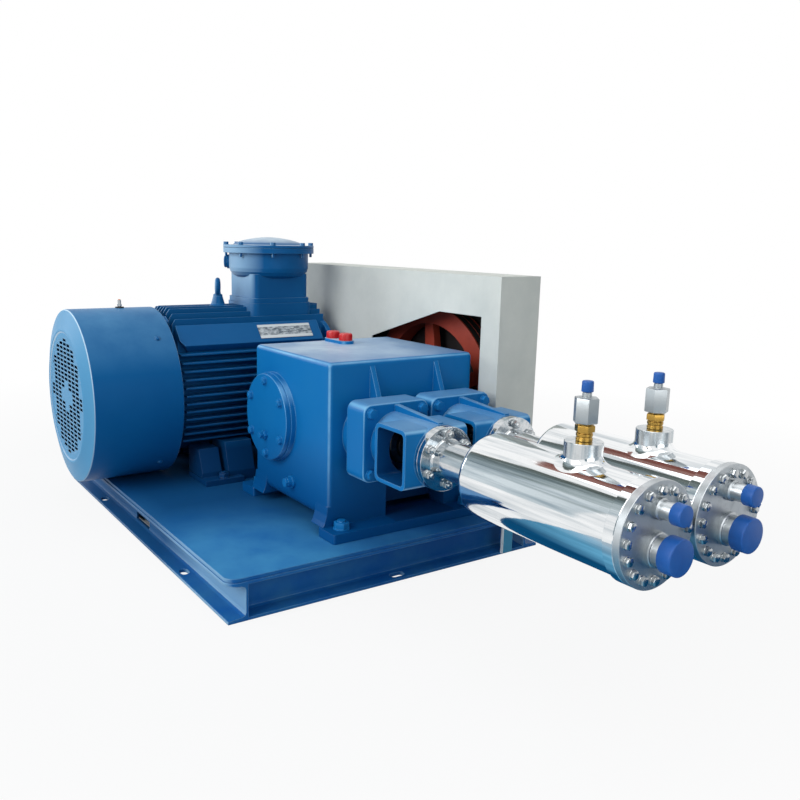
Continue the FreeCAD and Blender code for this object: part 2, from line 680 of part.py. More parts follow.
def connecting_rod(i):
    xb, xs, y = rod_centres(i)
    big = rod("y", (xb, y - ROD_W / 2, AXIS_Z), 42, ROD_W)
    small = rod("y", (xs, y - 12, AXIS_Z), EYE_R, 24)
    outline = [(xb, -18), (xb, 18), (xs, 12), (xs, -12)]
    pts = [(x, y - 8, AXIS_Z + dz) for x, dz in outline]
    lug = box(xb - 13, xb + 13, y - ROD_W / 2 + 2, y + ROD_W / 2 - 2, AXIS_Z - 47, AXIS_Z + 47)
    body = big.multiFuse([small, prism(pts, (0, 16, 0)), lug])
    body = body.cut(rod("y", (xb, y - 20, AXIS_Z), PIN_R + RUN, 40))
    return body.cut(rod("y", (xs, y - 20, AXIS_Z), GUDGEON_R, 40))


def gudgeon_pins():
    return [rod("y", (rod_centres(i)[1], rod_centres(i)[2] - 30, AXIS_Z), GUDGEON_R, 60) for i in (0, 1)]


def crosshead(i):
    _, xs, y = rod_centres(i)
    r = XH_R - RUN
    prof = [(-XH_BACK, 50), (-XH_BACK, r), (XH_FRONT, r), (XH_FRONT, 0), (XH_POCKET, 0), (XH_POCKET, 50)]
    body = revolve(prof, "x", (xs, y, AXIS_Z))
    return body.cut(rod("x", (xs + XH_POCKET - 5, y, AXIS_Z), PISTON_ROD_R - 2, 30))


def piston_rod(i):
    _, xs, y = rod_centres(i)
    x0 = xs + XH_FRONT
    shift = 0 if i == 0 else -2 * THROW
    prof = [(x0 - 14, 0), (x0 - 14, PISTON_ROD_R - 2), (x0, PISTON_ROD_R - 2), (x0, PISTON_ROD_R),
            (920 + shift, PISTON_ROD_R), (926 + shift, PLUNGER_R), (1116 + shift, PLUNGER_R),
            (1120 + shift, PLUNGER_R - 4), (1120 + shift, 0)]
    return revolve(prof, "x", (0, y, AXIS_Z))


# Distance pieces

def distance_piece(y):
    square = (y - DP_HALF, y + DP_HALF, AXIS_Z - DP_HALF, AXIS_Z + DP_HALF)
    flange = rounded_plate(DP_X0, DP_X0 + DP_FLANGE, *square, DP_CORNER, "x")
    flange = fillet_where(flange, DP_EDGE, lambda e: e.BoundBox.XMin > DP_X0 + DP_FLANGE - 0.1)
    barrel = rod("x", (DP_X0 + 20, y, AXIS_Z), DP_R, DP_X1 - DP_X0 - 20)
    rib = prism([(DP_X0 + DP_FLANGE - 1, y - 6, AXIS_Z + 79), (DP_X1 - 4, y - 6, AXIS_Z + 68),
                 (DP_X1 - 4, y - 6, AXIS_Z + 55), (DP_X0 + DP_FLANGE - 1, y - 6, AXIS_Z + 55)], (0, 12, 0))
    low, high = AXIS_Z - WIN_HALF, AXIS_Z + WIN_HALF
    neck = rounded_plate(WIN_X0, WIN_X1, y - WIN_OUT, y + WIN_BACK, low, high, WIN_R, "y")
    body = flange.multiFuse([barrel, rib, neck])
    w = WIN_WALL
    tools = [rounded_plate(WIN_X0 + w, WIN_X1 - w, y - WIN_OUT - 1, y + WIN_BACK + 1, AXIS_Z - WIN_HALF + w,
                           AXIS_Z + WIN_HALF - w, WIN_R - 5, "y")]
    tools.append(rod("x", (DP_X0 + 30, y, AXIS_Z), DP_R - 9, DP_X1 - DP_X0 - 38))
    tools.append(rod("x", (DP_X0 - 1, y, AXIS_Z), PISTON_ROD_R + 1.5, 260))
    tools.append(rod("x", (DP_X1 - 20, y, AXIS_Z), 26, 30))
    for dy in (-1, 1):
        for dz in (-1, 1):
            tools.append(rod("x", (DP_X0 - 1, y + dy * DP_BOLT, AXIS_Z + dz * DP_BOLT), 6.5, 80))
    for p in tools:
        body = body.cut(p)
    return body.removeSplitter()


def distance_bolts():
    bolts = []
    x = DP_X0 + DP_FLANGE
    for y in CYL_Y:
        for dy in (-1, 1):
            for dz in (-1, 1):
                c = (x, y + dy * DP_BOLT, AXIS_Z + dz * DP_BOLT)
                head = hexagon("x", (x + 2.5, c[1], c[2]), 19, 8.5, 10)
                washer = rod("x", c, 11.5, 2.5)
                bolts.append(head.fuse(washer).fuse(rod("x", (x - 40, c[1], c[2]), 6.0, 41)))
    return bolts


def rod_seals():
    seals = []
    for y in CYL_Y:
        prof = [(DP_X0 + 30, PISTON_ROD_R + RUN), (DP_X0 + 30, 40), (DP_X0 + 42, 40)]
        for k in range(5):
            x = DP_X0 + 42 + 12 * k
            prof += [(x, 27), (x + 6, 36), (x + 12, 27)]
        prof += [(DP_X0 + 110, 27), (DP_X0 + 110, PISTON_ROD_R + RUN)]
        seals.append(revolve(prof, "x", (0, y, AXIS_Z)))
    return seals


# Cold ends

def vacuum_jacket(y):
    x0, x1 = DP_X1, JACKET_X1
    prof = [(x0, 24), (x0, FL_R), (x0 + FL_T, FL_R), (x0 + FL_T, NECK_R), (JACKET_X0, NECK_R)]
    prof += [(JACKET_X0, JACKET_R - SHOULDER)]
    prof += arc_points(JACKET_X0 + SHOULDER, JACKET_R - SHOULDER, SHOULDER, 180, 90, 5)[1:]
    prof += [(x1 - COLLAR_T, JACKET_R), (x1 - COLLAR_T, COLLAR_R), (x1, COLLAR_R), (x1, JACKET_R - 14)]
    prof += [(x1 - COLLAR_T, JACKET_R - 14), (x1 - COLLAR_T - 3, JACKET_R - SHELL)]
    prof += [(JACKET_X0 + SHOULDER, JACKET_R - SHELL), (JACKET_X0 + 6, JACKET_R - SHOULDER)]
    prof += [(JACKET_X0 + 4, NECK_R - 3)]
    prof += [(x0 + FL_T, NECK_R - 3), (x0 + FL_T, 24)]
    body = revolve(prof, "x", (0, y, AXIS_Z))
    boss = rod("z", (BOSS_X_COLD, y, AXIS_Z + 60), BOSS_TOP_R, BOSS_TOP - AXIS_Z - 60)
    pad = rod("z", (BOSS_X_COLD, y, AXIS_Z + 40), 44, 60)
    pad = pad.common(rod("x", (900, y, AXIS_Z), JACKET_R + 3, 300))
    inner = rod("x", (900, y, AXIS_Z), JACKET_R - SHELL, 270)
    body = body.fuse(boss.fuse(pad).cut(inner))
    body = body.cut(rod("z", (BOSS_X_COLD, y, AXIS_Z + 60), 8.3, 80))
    tools = []
    for k in range(6):
        dy, dz = polar(0, 0, FL_PCD_R, 30 + 60 * k)
        tools.append(rod("x", (x0 - 1, y + dy, AXIS_Z + dz), 5.4, 30))
    return body.cut(Part.makeCompound(tools))


def cold_cylinder(y):
    r0, r1 = PISTON_ROD_R + RUN, PLUNGER_R + 0.04
    prof = [(690, r0), (690, 24), (719, 24), (719, 27), (842, 27), (856, 34), (JACKET_X1, 34), (JACKET_X1, 8),
            (1165, 8), (1165, r1), (872, r1), (866, r0)]
    body = revolve(prof, "x", (0, y, AXIS_Z))
    riser = rod("z", (BOSS_X_COLD, y, AXIS_Z + 28), 8.0, BOSS_TOP - AXIS_Z - 28)
    return body.fuse(riser).cut(rod("x", (872, y, AXIS_Z), r1, 293))


def end_cover(y):
    body = rod("x", (JACKET_X1, y, AXIS_Z), COLLAR_R, END_T)
    for dz, r, bore, length, root in ((SUCTION_DZ, 23.6, 19.5, 42, 27.5), (RETURN_DZ, 14.2, 10.0, 43, 17)):
        z = AXIS_Z + dz
        body = body.fuse(rod("x", (END_X - 1, y, z), r, length))
        body = body.fuse(rod("x", (END_X - 1, y, z), root, 7))
        body = body.cut(rod("x", (JACKET_X1 - 1, y, z), bore, 80))
    return body


def end_bolts():
    bolts = []
    for y in CYL_Y:
        for k in range(16):
            dy, dz = polar(0, 0, END_PCD_R, 22.5 * k)
            bolts.append(hexagon("x", (END_X, y + dy, AXIS_Z + dz), 15, 7, 22.5 * k))
    return bolts


def flange_studs():
    studs = []
    for y in CYL_Y:
        for k in range(6):
            dy, dz = polar(0, 0, FL_PCD_R, 30 + 60 * k)
            x = DP_X1 + FL_T
            nut = hexagon("x", (x, y + dy, AXIS_Z + dz), 15, 9, 30 + 60 * k)
            studs.append(nut.fuse(rod("x", (x - FL_T, y + dy, AXIS_Z + dz), 5.0, FL_T + 13)))
    return studs


def port_caps(dz, r_stub, r_cap, x_back, x_end):
    caps = []
    for y in CYL_Y:
        z = AXIS_Z + dz
        cap = rod("x", (x_back, y, z), r_cap, x_end + 3 - x_back)
        caps.append(cap.cut(rod("x", (x_back - 1, y, z), r_stub + GAP, x_end - x_back + 1)))
    return caps


def brass_fitting(y):
    body = rod("z", (BOSS_X_COLD, y, BOSS_TOP), 13.3, 16)
    return body.fuse(hexagon("z", (BOSS_X_COLD, y, BOSS_TOP + 15), 28, 14, 52))


def check_valve(y, turn):
    z = BOSS_TOP + 29
    body = hexagon("z", (BOSS_X_COLD, y, z), 35, 41, turn)
    return body.fuse(rod("z", (BOSS_X_COLD, y, z + 40), 7.3, 23))


def discharge_cap(y):
    z = BOSS_TOP + 79
    cap = rod("z", (BOSS_X_COLD, y, z), 9.5, 17.5)
    return cap.cut(rod("z", (BOSS_X_COLD, y, z - 1), 7.6, 14.5))


# Drive

def sheave_profile(r):
    """Rim outline with V grooves, along the axis from -half to +half."""
    half = SHEAVE_W / 2.0
    top = 8.8
    low = 4.6
    pts = [(-half, r)]
    for k in range(BELTS):
        c = (k - (BELTS - 1) / 2.0) * BELT_STEP
        pts += [(c - top, r), (c - low, r - 14), (c + low, r - 14), (c + top, r)]
    pts.append((half, r))
    return pts


def large_sheave():
    inner = BIG_R - BIG_RIM
    pts = sheave_profile(BIG_R) + [(SHEAVE_W / 2, inner), (-SHEAVE_W / 2, inner)]
    centre = (CRANK_X, DRIVE_Y, AXIS_Z)
    rim = revolve(pts, "y", centre)
    hub = rod("y", (CRANK_X, 312, AXIS_Z), 50, 76)
    arms = []
    for k in range(5):
        pts = [(-27, -11, 40), (27, -11, 40), (16, -11, inner + 3), (-16, -11, inner + 3)]
        arm = prism(pts, (0, 22, 0))
        arm.rotate(V(0, 0, 0), V(0, 1, 0), 72 * k - 7)
        arm.translate(V(*centre))
        arms.append(arm)
    return hub.multiFuse(arms + [rim]).cut(rod("y", (CRANK_X, 300, AXIS_Z), 27.5, 90))


def motor_sheave():
    pts = sheave_profile(SMALL_R) + [(SHEAVE_W / 2, 30), (-SHEAVE_W / 2, 30)]
    return revolve(pts, "y", (MOTOR_X, DRIVE_Y, MOTOR_Z))


def belt_loop(r1, r2, y0, y1):
    """Prism bounded by the open belt line round both sheaves."""
    c1 = V(MOTOR_X, y0, MOTOR_Z)
    c2 = V(CRANK_X, y0, AXIS_Z)
    d = c2.sub(c1)
    dist = d.Length
    base = math.atan2(d.z, d.x)
    off = math.acos((r1 - r2) / dist)

    def at(c, r, a):
        return V(c.x + r * math.cos(a), y0, c.z + r * math.sin(a))

    a1, a2 = base + off, base - off
    e = [Part.makeLine(at(c1, r1, a1), at(c2, r2, a1)),
         Part.Arc(at(c2, r2, a1), at(c2, r2, base), at(c2, r2, a2)).toShape(),
         Part.makeLine(at(c2, r2, a2), at(c1, r1, a2)),
         Part.Arc(at(c1, r1, a2), at(c1, r1, base + math.pi), at(c1, r1, a1)).toShape()]
    return Part.Face(Part.Wire(e)).extrude(V(0, y1 - y0, 0))


def v_belts():
    belts = []
    for k in range(BELTS):
        c = DRIVE_Y + (k - (BELTS - 1) / 2.0) * BELT_STEP
        layers = []
        for out, into, half in ((0, 3, 7.5), (3, 6.5, 6.4), (6.5, 10, 5.4)):
            layer = belt_loop(SMALL_R - out, BIG_R - out, c - half, c + half)
            layers.append(layer.cut(belt_loop(SMALL_R - into, BIG_R - into, c - 9, c + 9)))
        belts.append(layers[0].fuse(layers[1]).fuse(layers[2]))
    return belts


def belt_guard():
    t = SHEET
    body = box(GUARD_X0, GUARD_X1, GUARD_Y0, GUARD_Y1, DECK_Z, GUARD_Z1)
    body = body.cut(box(GUARD_X0 + t, GUARD_X1 - t, GUARD_Y0 + t, GUARD_Y1 - t, DECK_Z - 1, GUARD_Z1 - t))
    pts = [(22, 153), (317, 244.5), (474, 244.5), (474, -121), (22, -121)]
    body = body.cut(prism([(x, GUARD_Y0 - 1, AXIS_Z + z) for x, z in pts], (0, t + 2, 0)))
    body = body.cut(rod("y", (MOTOR_X, GUARD_Y0 - 1, MOTOR_Z), 60, t + 2))
    body = body.fuse(box(GUARD_X0, GUARD_X1, GUARD_Y0 + t, GUARD_Y0 + 22, DECK_Z, DECK_Z + t))
    for x0, x1 in ((52, 119), (440, 507)):
        body = body.cut(box(x0 - 3, x1 + 3, GUARD_Y0 - 1, FOOT_Y1 + 3, DECK_Z - 1, FOOT_Z + 3))
    return body


def build():
    save("skid_frame", skid_frame())
    save("deck_plate", deck_plate())
    save("motor_frame", motor_frame())
    save("motor_drive_end_shield", motor_end_shield(True))
    save("motor_fan_end_shield", motor_end_shield(False))
    save("motor_rotor", motor_rotor())
    save("motor_stator", motor_stator())
    save("motor_bearings", motor_bearings())
    save("cooling_fan", cooling_fan())
    save("fan_cover", fan_cover())
    save("fan_cover_screws", cover_screws())
    save("grease_nipple", grease_nipple())
    save("motor_foot_bolts", foot_bolts(motor_bolt_points(), FOOT_PAD_Z, 24, 11, FOOT_PAD_Z - DECK_Z - 0.1))
    save("terminal_box", terminal_box())
    save("terminal_box_lid", terminal_lid())
    save("terminal_lid_bolts", lid_bolts())
    save("blanking_plug", blanking_plug())
    save("eye_bolt", eye_bolt())
    save("motor_nameplate", nameplate())
    save("crankcase", crankcase())
    save("bearing_cover_plain", bearing_cover(CC_Y0 - PAD_T, -1, False))
    save("bearing_cover_drive", bearing_cover(CC_Y1 + PAD_T, 1, True))
    save("bearing_cover_bolts", cover_bolts())
    save("bearing_cover_fitting", cover_fitting())
    save("drain_plug", drain_plug())
    save("oil_filler_caps", filler_caps())
    feet = [(x, y) for x in FOOT_BOLTS_X for y in FOOT_BOLTS_Y]
    save("crankcase_bolts", foot_bolts(feet, FOOT_Z, 30, 13, FOOT_T - 0.1))
    save("crankshaft", crankshaft())
    save("main_bearings", main_bearings())
    pins = gudgeon_pins()
    for i in (0, 1):
        n = str(i + 1)
        y = CYL_Y[i]
        save("connecting_rod_" + n, connecting_rod(i))
        save("gudgeon_pin_" + n, pins[i])
        save("crosshead_" + n, crosshead(i))
        save("piston_rod_" + n, piston_rod(i))
        save("distance_piece_" + n, distance_piece(y))
        save("vacuum_jacket_" + n, vacuum_jacket(y))
        save("cold_cylinder_" + n, cold_cylinder(y))
        save("end_cover_" + n, end_cover(y))
    save("brass_fittings", [brass_fitting(y) for y in CYL_Y])
    save("check_valves", [check_valve(y, turn) for y, turn in zip(CYL_Y, VALVE_TURN)])
    save("discharge_caps", [discharge_cap(y) for y in CYL_Y])
    save("distance_piece_bolts", distance_bolts())
    save("rod_seals", rod_seals())
    save("mount_flange_studs", flange_studs())
    save("end_cover_bolts", end_bolts())
    save("suction_caps", port_caps(SUCTION_DZ, 23.6, 29.0, 1225, END_X + 41))
    save("gas_return_caps", port_caps(RETURN_DZ, 14.2, 17.0, 1231, END_X + 42))
    save("large_sheave", large_sheave())
    save("motor_sheave", motor_sheave())
    save("v_belts", v_belts())
    save("belt_guard", belt_guard())


build()
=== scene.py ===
import bmesh
import bpy
import math
from mathutils import Matrix, Vector


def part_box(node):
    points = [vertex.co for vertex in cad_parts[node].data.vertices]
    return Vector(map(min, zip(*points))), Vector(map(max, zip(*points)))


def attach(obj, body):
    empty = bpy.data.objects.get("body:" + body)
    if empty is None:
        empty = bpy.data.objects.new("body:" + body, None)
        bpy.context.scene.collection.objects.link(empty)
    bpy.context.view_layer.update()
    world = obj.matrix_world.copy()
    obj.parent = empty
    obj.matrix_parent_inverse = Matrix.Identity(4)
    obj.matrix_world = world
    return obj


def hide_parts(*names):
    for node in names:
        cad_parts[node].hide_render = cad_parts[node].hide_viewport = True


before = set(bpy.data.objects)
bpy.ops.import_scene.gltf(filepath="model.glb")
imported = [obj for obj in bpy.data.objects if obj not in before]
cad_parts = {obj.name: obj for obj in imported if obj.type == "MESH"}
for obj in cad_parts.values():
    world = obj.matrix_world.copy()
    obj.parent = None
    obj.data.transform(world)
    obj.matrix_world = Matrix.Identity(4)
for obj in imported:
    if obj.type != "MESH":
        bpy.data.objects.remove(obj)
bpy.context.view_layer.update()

bl_info = {
    "name": "Reciprocating pump dresser",
    "version": (1, 0, 0),
    "blender": (4, 5, 0),
    "location": "View3D > Sidebar > Pump",
    "description": "Dresses the packed solids of a skid mounted plunger pump",
    "category": "Object",
}

# Places shared with the solids, in millimetres
MM = 0.001
MOTOR_X, MOTOR_Z = -253.5, 313.0
COVER_R, COVER_FRONT, COVER_BACK = 224.7, -481.0, -256.5
BOX_Y, BOX_RIM_Z, LID_BOLT_Z = 96.5, 698.0, 706.0
EYE_Y, GREASE_Y = -64.0, -343.0
CRANK_X, AXIS_Z = 207.0, 311.0
BEARING_FACE_Y, FAR_BEARING_FACE_Y = -134.5, 296.5
CYLINDER_Y = (-12.5, 162.5)
WINDOW_FLANGE_X, MOUNT_FLANGE_X, JACKET_END_X, END_X = 550.0, 719.0, 1191.5, 1204.0
JACKET_R, STUB_UP, STUB_DOWN = 79.5, 42.0, -21.0
BOSS_X, BOSS_TOP = 1055.0, 421.5
FORWARD, LEFT, UP = (1, 0, 0), (0, 1, 0), (0, 0, 1)

# Points nearer than this, in metres, are taken as one
WELD = 1e-6

# The usual colour of stains on bare metal
STAIN = "#5b5e60"

FINISH = {}


# Mesh helpers


def at(x, y, z):
    """A point given in millimetres, as metres."""
    return Vector((x, y, z)) * MM


def facing(point, direction, turn=0.0):
    """A matrix that puts a shape made round local Z at a point, looking along a direction."""
    aim = Vector(direction).normalized().to_track_quat("Z", "Y").to_matrix().to_4x4()
    return Matrix.Translation(at(*point)) @ aim @ Matrix.Rotation(math.radians(turn), 4, "Z")


def spin(bm, profile, steps, closed=True):
    """Spins a profile of (along, radius) millimetres round local Z; edges on the axis are left out."""
    verts = [bm.verts.new((r * MM, 0.0, a * MM)) for a, r in profile]
    pairs = list(zip(verts, verts[1:] + verts[:1]))
    if not closed:
        pairs.pop()
    edges = [bm.edges.new(pair) for pair in pairs if any(v.co.x > 0.0 for v in pair)]
    bmesh.ops.spin(
        bm, geom=verts + edges, cent=(0, 0, 0), axis=(0, 0, 1), angle=math.tau, steps=steps, use_merge=True
    )


def add_turned(bm, profile, matrix, steps=96):
    """Adds one turned solid to a bmesh that may hold others."""
    one = bmesh.new()
    spin(one, profile, steps)
    bmesh.ops.remove_doubles(one, verts=one.verts, dist=WELD)
    bmesh.ops.recalc_face_normals(one, faces=one.faces)
    merge(bm, one, matrix)


def merge(bm, one, matrix):
    """Puts the shape in one into bm through a mesh, moved by matrix."""
    mesh = bpy.data.meshes.new("part")
    bmesh.ops.transform(one, matrix=matrix, verts=one.verts)
    one.to_mesh(mesh)
    one.free()
    bm.from_mesh(mesh)
    bpy.data.meshes.remove(mesh)


def soften(one, edges, width):
    """Rounds the given edges in two steps."""
    bmesh.ops.bevel(one, geom=edges, offset=width * MM, segments=2, profile=0.5, affect="EDGES", material=-1)


def rounded(ca, cr, radius, start, end, steps=5):
    """Points of a round corner in a profile, angles in degrees from the along axis."""
    points = []
    for k in range(steps + 1):
        t = math.radians(start + (end - start) * k / steps)
        points.append((ca + radius * math.cos(t), cr + radius * math.sin(t)))
    return points


def circle(count, radius, start=0.0):
    """Evenly spread places on a circle: their angle in degrees, then across and up in millimetres."""
    for k in range(count):
        angle = start + 360.0 / count * k
        yield angle, radius * math.cos(math.radians(angle)), radius * math.sin(math.radians(angle))


def add_block(bm, matrix, size, soft=0.0):
    """A block round its own middle, with soft edges if asked."""
    one = bmesh.new()
    bmesh.ops.create_cube(one, size=1.0)
    bmesh.ops.scale(one, vec=at(*size), verts=one.verts)
    if soft:
        soften(one, one.edges[:], soft)
    merge(bm, one, matrix)


def add_hexagon(bm, matrix, flats, height, chamfer, both=False):
    """A hexagon standing on local Z = 0, chamfered at its top or at both ends."""
    one = bmesh.new()
    radius = flats / math.sqrt(3.0) * MM
    bmesh.ops.create_cone(one, cap_ends=True, segments=6, radius1=radius, radius2=radius, depth=height * MM)
    bmesh.ops.translate(one, vec=(0, 0, height / 2 * MM), verts=one.verts)
    level = [e for e in one.edges if abs(e.verts[0].co.z - e.verts[1].co.z) < WELD]
    soften(one, [e for e in level if both or e.verts[0].co.z > height / 2 * MM], chamfer)
    merge(bm, one, matrix)


def add_bolt(bm, point, direction, flats, height, washer, stud=0.0, stud_r=0.0, turn=0.0):
    """A hexagon head or nut on a round washer, with the thread's end standing proud."""
    place = facing(point, direction, turn)
    r, chamfer = flats * 0.62, flats * 0.05
    add_turned(bm, [(0, 0), (0, r), (washer * 0.7, r), (washer, r - 0.6), (washer, 0)], place, 24)
    add_hexagon(bm, place @ Matrix.Translation((0, 0, washer * MM)), flats, height, chamfer)
    if stud:
        depth, pitch = 0.6, 1.6
        z = washer + height
        profile = [(z - 1, 0)]
        along = z - 1
        while along < z + stud - pitch:
            profile += [(along, stud_r), (along + pitch / 2, stud_r - depth)]
            along += pitch
        profile += [(along, stud_r), (z + stud, stud_r - 1.0), (z + stud, 0)]
        add_turned(bm, profile, place, 16)


def placed(name, bm, material):
    """Makes an object of the shape and gives it its material."""
    mesh = bpy.data.meshes.new(name)
    bm.to_mesh(mesh)
    bm.free()
    mesh.materials.append(material)
    made = bpy.data.objects.new(name, mesh)
    bpy.context.scene.collection.objects.link(made)
    return made


def piece(name, bm, finish, nodes, angle=30.0, bevel=0.0):
    """Makes a visible piece, smooths it, puts it on the pump's body and hides the solids it stands for."""
    made = placed(name, bm, FINISH[finish])
    made.data.shade_smooth()
    made.data.set_sharp_from_angle(angle=math.radians(angle))
    if bevel:
        soft = made.modifiers.new("soft_edges", "BEVEL")
        soft.width = bevel * MM
        soft.segments = 2
        soft.limit_method = "ANGLE"
        soft.angle_limit = math.radians(angle)
        soft.harden_normals = True
    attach(made, "pump")
    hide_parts(*nodes.split())


# Node helpers


def linear(code):
    """An sRGB hex colour as linear red, green, blue and alpha."""
    channels = [int(code[i : i + 2], 16) / 255.0 for i in (1, 3, 5)]
    return [c / 12.92 if c <= 0.04045 else ((c + 0.055) / 1.055) ** 2.4 for c in channels] + [1.0]


def add(tree, kind, inputs=()):
    """Adds a node: an output is linked to the named input, all else is set as a property or a value."""
    made = tree.nodes.new(kind)
    for key, value in dict(inputs).items():
        if isinstance(value, bpy.types.NodeSocket):
            tree.links.new(value, made.inputs[key])
        elif isinstance(key, str) and hasattr(made, key):
            setattr(made, key, value)
        else:
            made.inputs[key].default_value = value
    return made


def maths(tree, operation, first, second=0.5):
    """One or two values, joined by the named operation."""
    return add(tree, "ShaderNodeMath", {"operation": operation, 0: first, 1: second}).outputs[0]


def product(tree, first, second):
    """Two values multiplied."""
    return maths(tree, "MULTIPLY", first, second)


def vectors(tree, operation, first, second=(0.0, 0.0, 0.0)):
    """One or two vectors, joined by the named operation."""
    made = add(tree, "ShaderNodeVectorMath", {"operation": operation, 0: first, 1: second})
    return made.outputs["Value" if operation in ("DOT_PRODUCT", "LENGTH", "DISTANCE") else "Vector"]


def axes(tree, vector):
    """The x, y and z of a vector."""
    return add(tree, "ShaderNodeSeparateXYZ", {0: vector}).outputs


def largest(tree, values):
    """The largest of three values."""
    return maths(tree, "MAXIMUM", maths(tree, "MAXIMUM", values[0], values[1]), values[2])


def ranged(tree, value, low=0.0, high=1.0, start=0.0, end=1.0):
    """Stretches what lies between low and high to start and end, and stops there."""
    span = {"From Min": low, "From Max": high, "To Min": start, "To Max": end, "Value": value}
    return add(tree, "ShaderNodeMapRange", span).outputs[0]


def blend(tree, share, under, over):
    """One colour laid over another; each is an output or a hex colour."""
    under, over = (linear(c) if isinstance(c, str) else c for c in (under, over))
    return add(tree, "ShaderNodeMix", {"data_type": "RGBA", 0: share, 6: under, 7: over}).outputs[2]


def noise(tree, place, scale, detail=2.0, rough=0.5):
    """Soft noise with so many lumps to the metre."""
    lumps = {"Scale": scale, "Detail": detail, "Roughness": rough, "Vector": place}
    return add(tree, "ShaderNodeTexNoise", lumps).outputs["Fac"]


def bumped(tree, height, strength, distance, normal=None):
    """The direction of a surface with small unevenness."""
    bump = {"Strength": strength, "Distance": distance, "Height": height}
    if normal:
        bump["Normal"] = normal
    return add(tree, "ShaderNodeBump", bump).outputs[0]


def new_finish(name):
    """An empty material, its node tree and the place in the object's own frame."""
    material = bpy.data.materials.new(name)
    material.use_nodes = True
    tree = material.node_tree
    tree.nodes.clear()
    return material, tree, add(tree, "ShaderNodeTexCoord").outputs["Object"]


def close(tree, surface):
    """Ends a material with the given shader."""
    add(tree, "ShaderNodeOutputMaterial", {"Surface": surface.outputs[0]})


def principled(tree, inputs):
    """Ends a material with one principled shader."""
    close(tree, add(tree, "ShaderNodeBsdfPrincipled", inputs))


# Finishes


def enamel(
    name,
    shade,
    light,
    dust,
    rough,
    peel_mm=1.6,
    peel=0.25,
    dust_part=0.35,
    gloss=0.1,
    rim=0.3,
    round_mm=2.0,
    slopes=True,
    inside=(),
    film=None,
    face=None,
    lip_highlight=0.0,
):
    """Sprayed enamel: even colour with faint clouds, orange peel, and a painted highlight along the edges.

    Light is the colour of the painted edge highlight and rim its share; boxes of painted shade or painted
    light may be given, a pale layer of dust with painted sheen, face a side painted paler as if lit, and a
    painted highlight on a rolled edge.
    """
    material, tree, place = new_finish(name)
    cloud = noise(tree, place, 9.0, 4.0, 0.6)
    fine = noise(tree, place, 1000.0 / peel_mm / 6.0)
    colour = blend(tree, ranged(tree, cloud, 0.35, 0.7, 0.0, dust_part), shade, dust)
    round_edge = add(tree, "ShaderNodeBevel", {"samples": 6, "Radius": round_mm * MM}).outputs[0]
    geometry = add(tree, "ShaderNodeNewGeometry")
    # Painted highlight: the colour is made lighter where a face turns into the next one, and the gloss is raised there
    slant = largest(tree, axes(tree, vectors(tree, "ABSOLUTE", round_edge)))
    edge = ranged(tree, slant, 0.92, 0.76)
    if slopes:
        # Slanted faces have the same direction before and after the rounding, so they stay plain
        turn = vectors(tree, "DOT_PRODUCT", round_edge, geometry.outputs["True Normal"])
        edge = product(tree, edge, ranged(tree, turn, 0.995, 0.93))
    edge = product(tree, edge, ranged(tree, cloud, 0.35, 0.6, 0.5, 1.0))
    gleam = ranged(tree, edge, 0.0, 1.0, gloss, 0.5)
    colour_with_painted_light = blend(tree, product(tree, edge, rim), colour, light)
    if face:
        # Painted light: faces that look towards the motor's fan end are painted paler, from a given height up
        tone, most, lowest = face
        front = axes(tree, geometry.outputs["Normal"])
        stand = axes(tree, place)
        high = ranged(tree, stand[2], lowest, lowest + 0.12, 0.0, most)
        colour_with_painted_light = blend(tree, product(tree, ranged(tree, front[1], -0.55, -0.95), high), colour_with_painted_light, tone)
        if lip_highlight:
            # Painted highlight on the rolled edge between the end and the side
            half = maths(tree, "ABSOLUTE", maths(tree, "ADD", front[1], 0.66))
            upper = ranged(tree, stand[2], 0.28, 0.52, lip_highlight * 0.35, lip_highlight)
            colour_with_painted_light = blend(tree, product(tree, ranged(tree, half, 0.28, 0.12), upper), colour_with_painted_light, light)
    if film:
        colour_with_painted_light = dust_and_sheen_layer(tree, place, geometry, cloud, colour_with_painted_light, *film)
    bump = bumped(tree, fine, peel, 0.00012, round_edge)
    shine = ranged(tree, cloud, 0.0, 1.0, rough - 0.05, rough + 0.10)
    base = coloured(tree, place, colour_with_painted_light, inside)
    coat = {"IOR": 1.5, "Specular IOR Level": gleam, "Base Color": base, "Roughness": shine, "Normal": bump}
    principled(tree, coat)
    return material


def dust_and_sheen_layer(tree, place, geometry, cloud, coat, shade, most, height, start, spot=None, reach=0.34):
    """A pale layer above a height, on faces that look up, thickest round one spot if that is given: partly dust,
    partly painted sheen.
    """
    above = maths(tree, "GREATER_THAN", axes(tree, place)[2], height)
    flat = ranged(tree, axes(tree, geometry.outputs["Normal"])[2], start, 0.995)
    share = product(tree, product(tree, flat, above), ranged(tree, cloud, 0.3, 0.7, most * 0.45, most))
    if spot:
        gone = vectors(tree, "DISTANCE", place, spot)
        share = product(tree, share, ranged(tree, gone, 0.04, reach, 1.0, 0.25))
    return blend(tree, share, coat, shade)


def coloured(tree, place, outer, inside):
    """The coat's colour, with painted shade or painted light in each given box: its middle, half size, colour and soft
    border.
    """
    for middle, half, shade, border in inside:
        off = vectors(tree, "ABSOLUTE", vectors(tree, "SUBTRACT", place, middle))
        off = largest(tree, axes(tree, vectors(tree, "SUBTRACT", off, half)))
        outer = blend(tree, ranged(tree, off, 0.0, -border), outer, shade)
    return outer


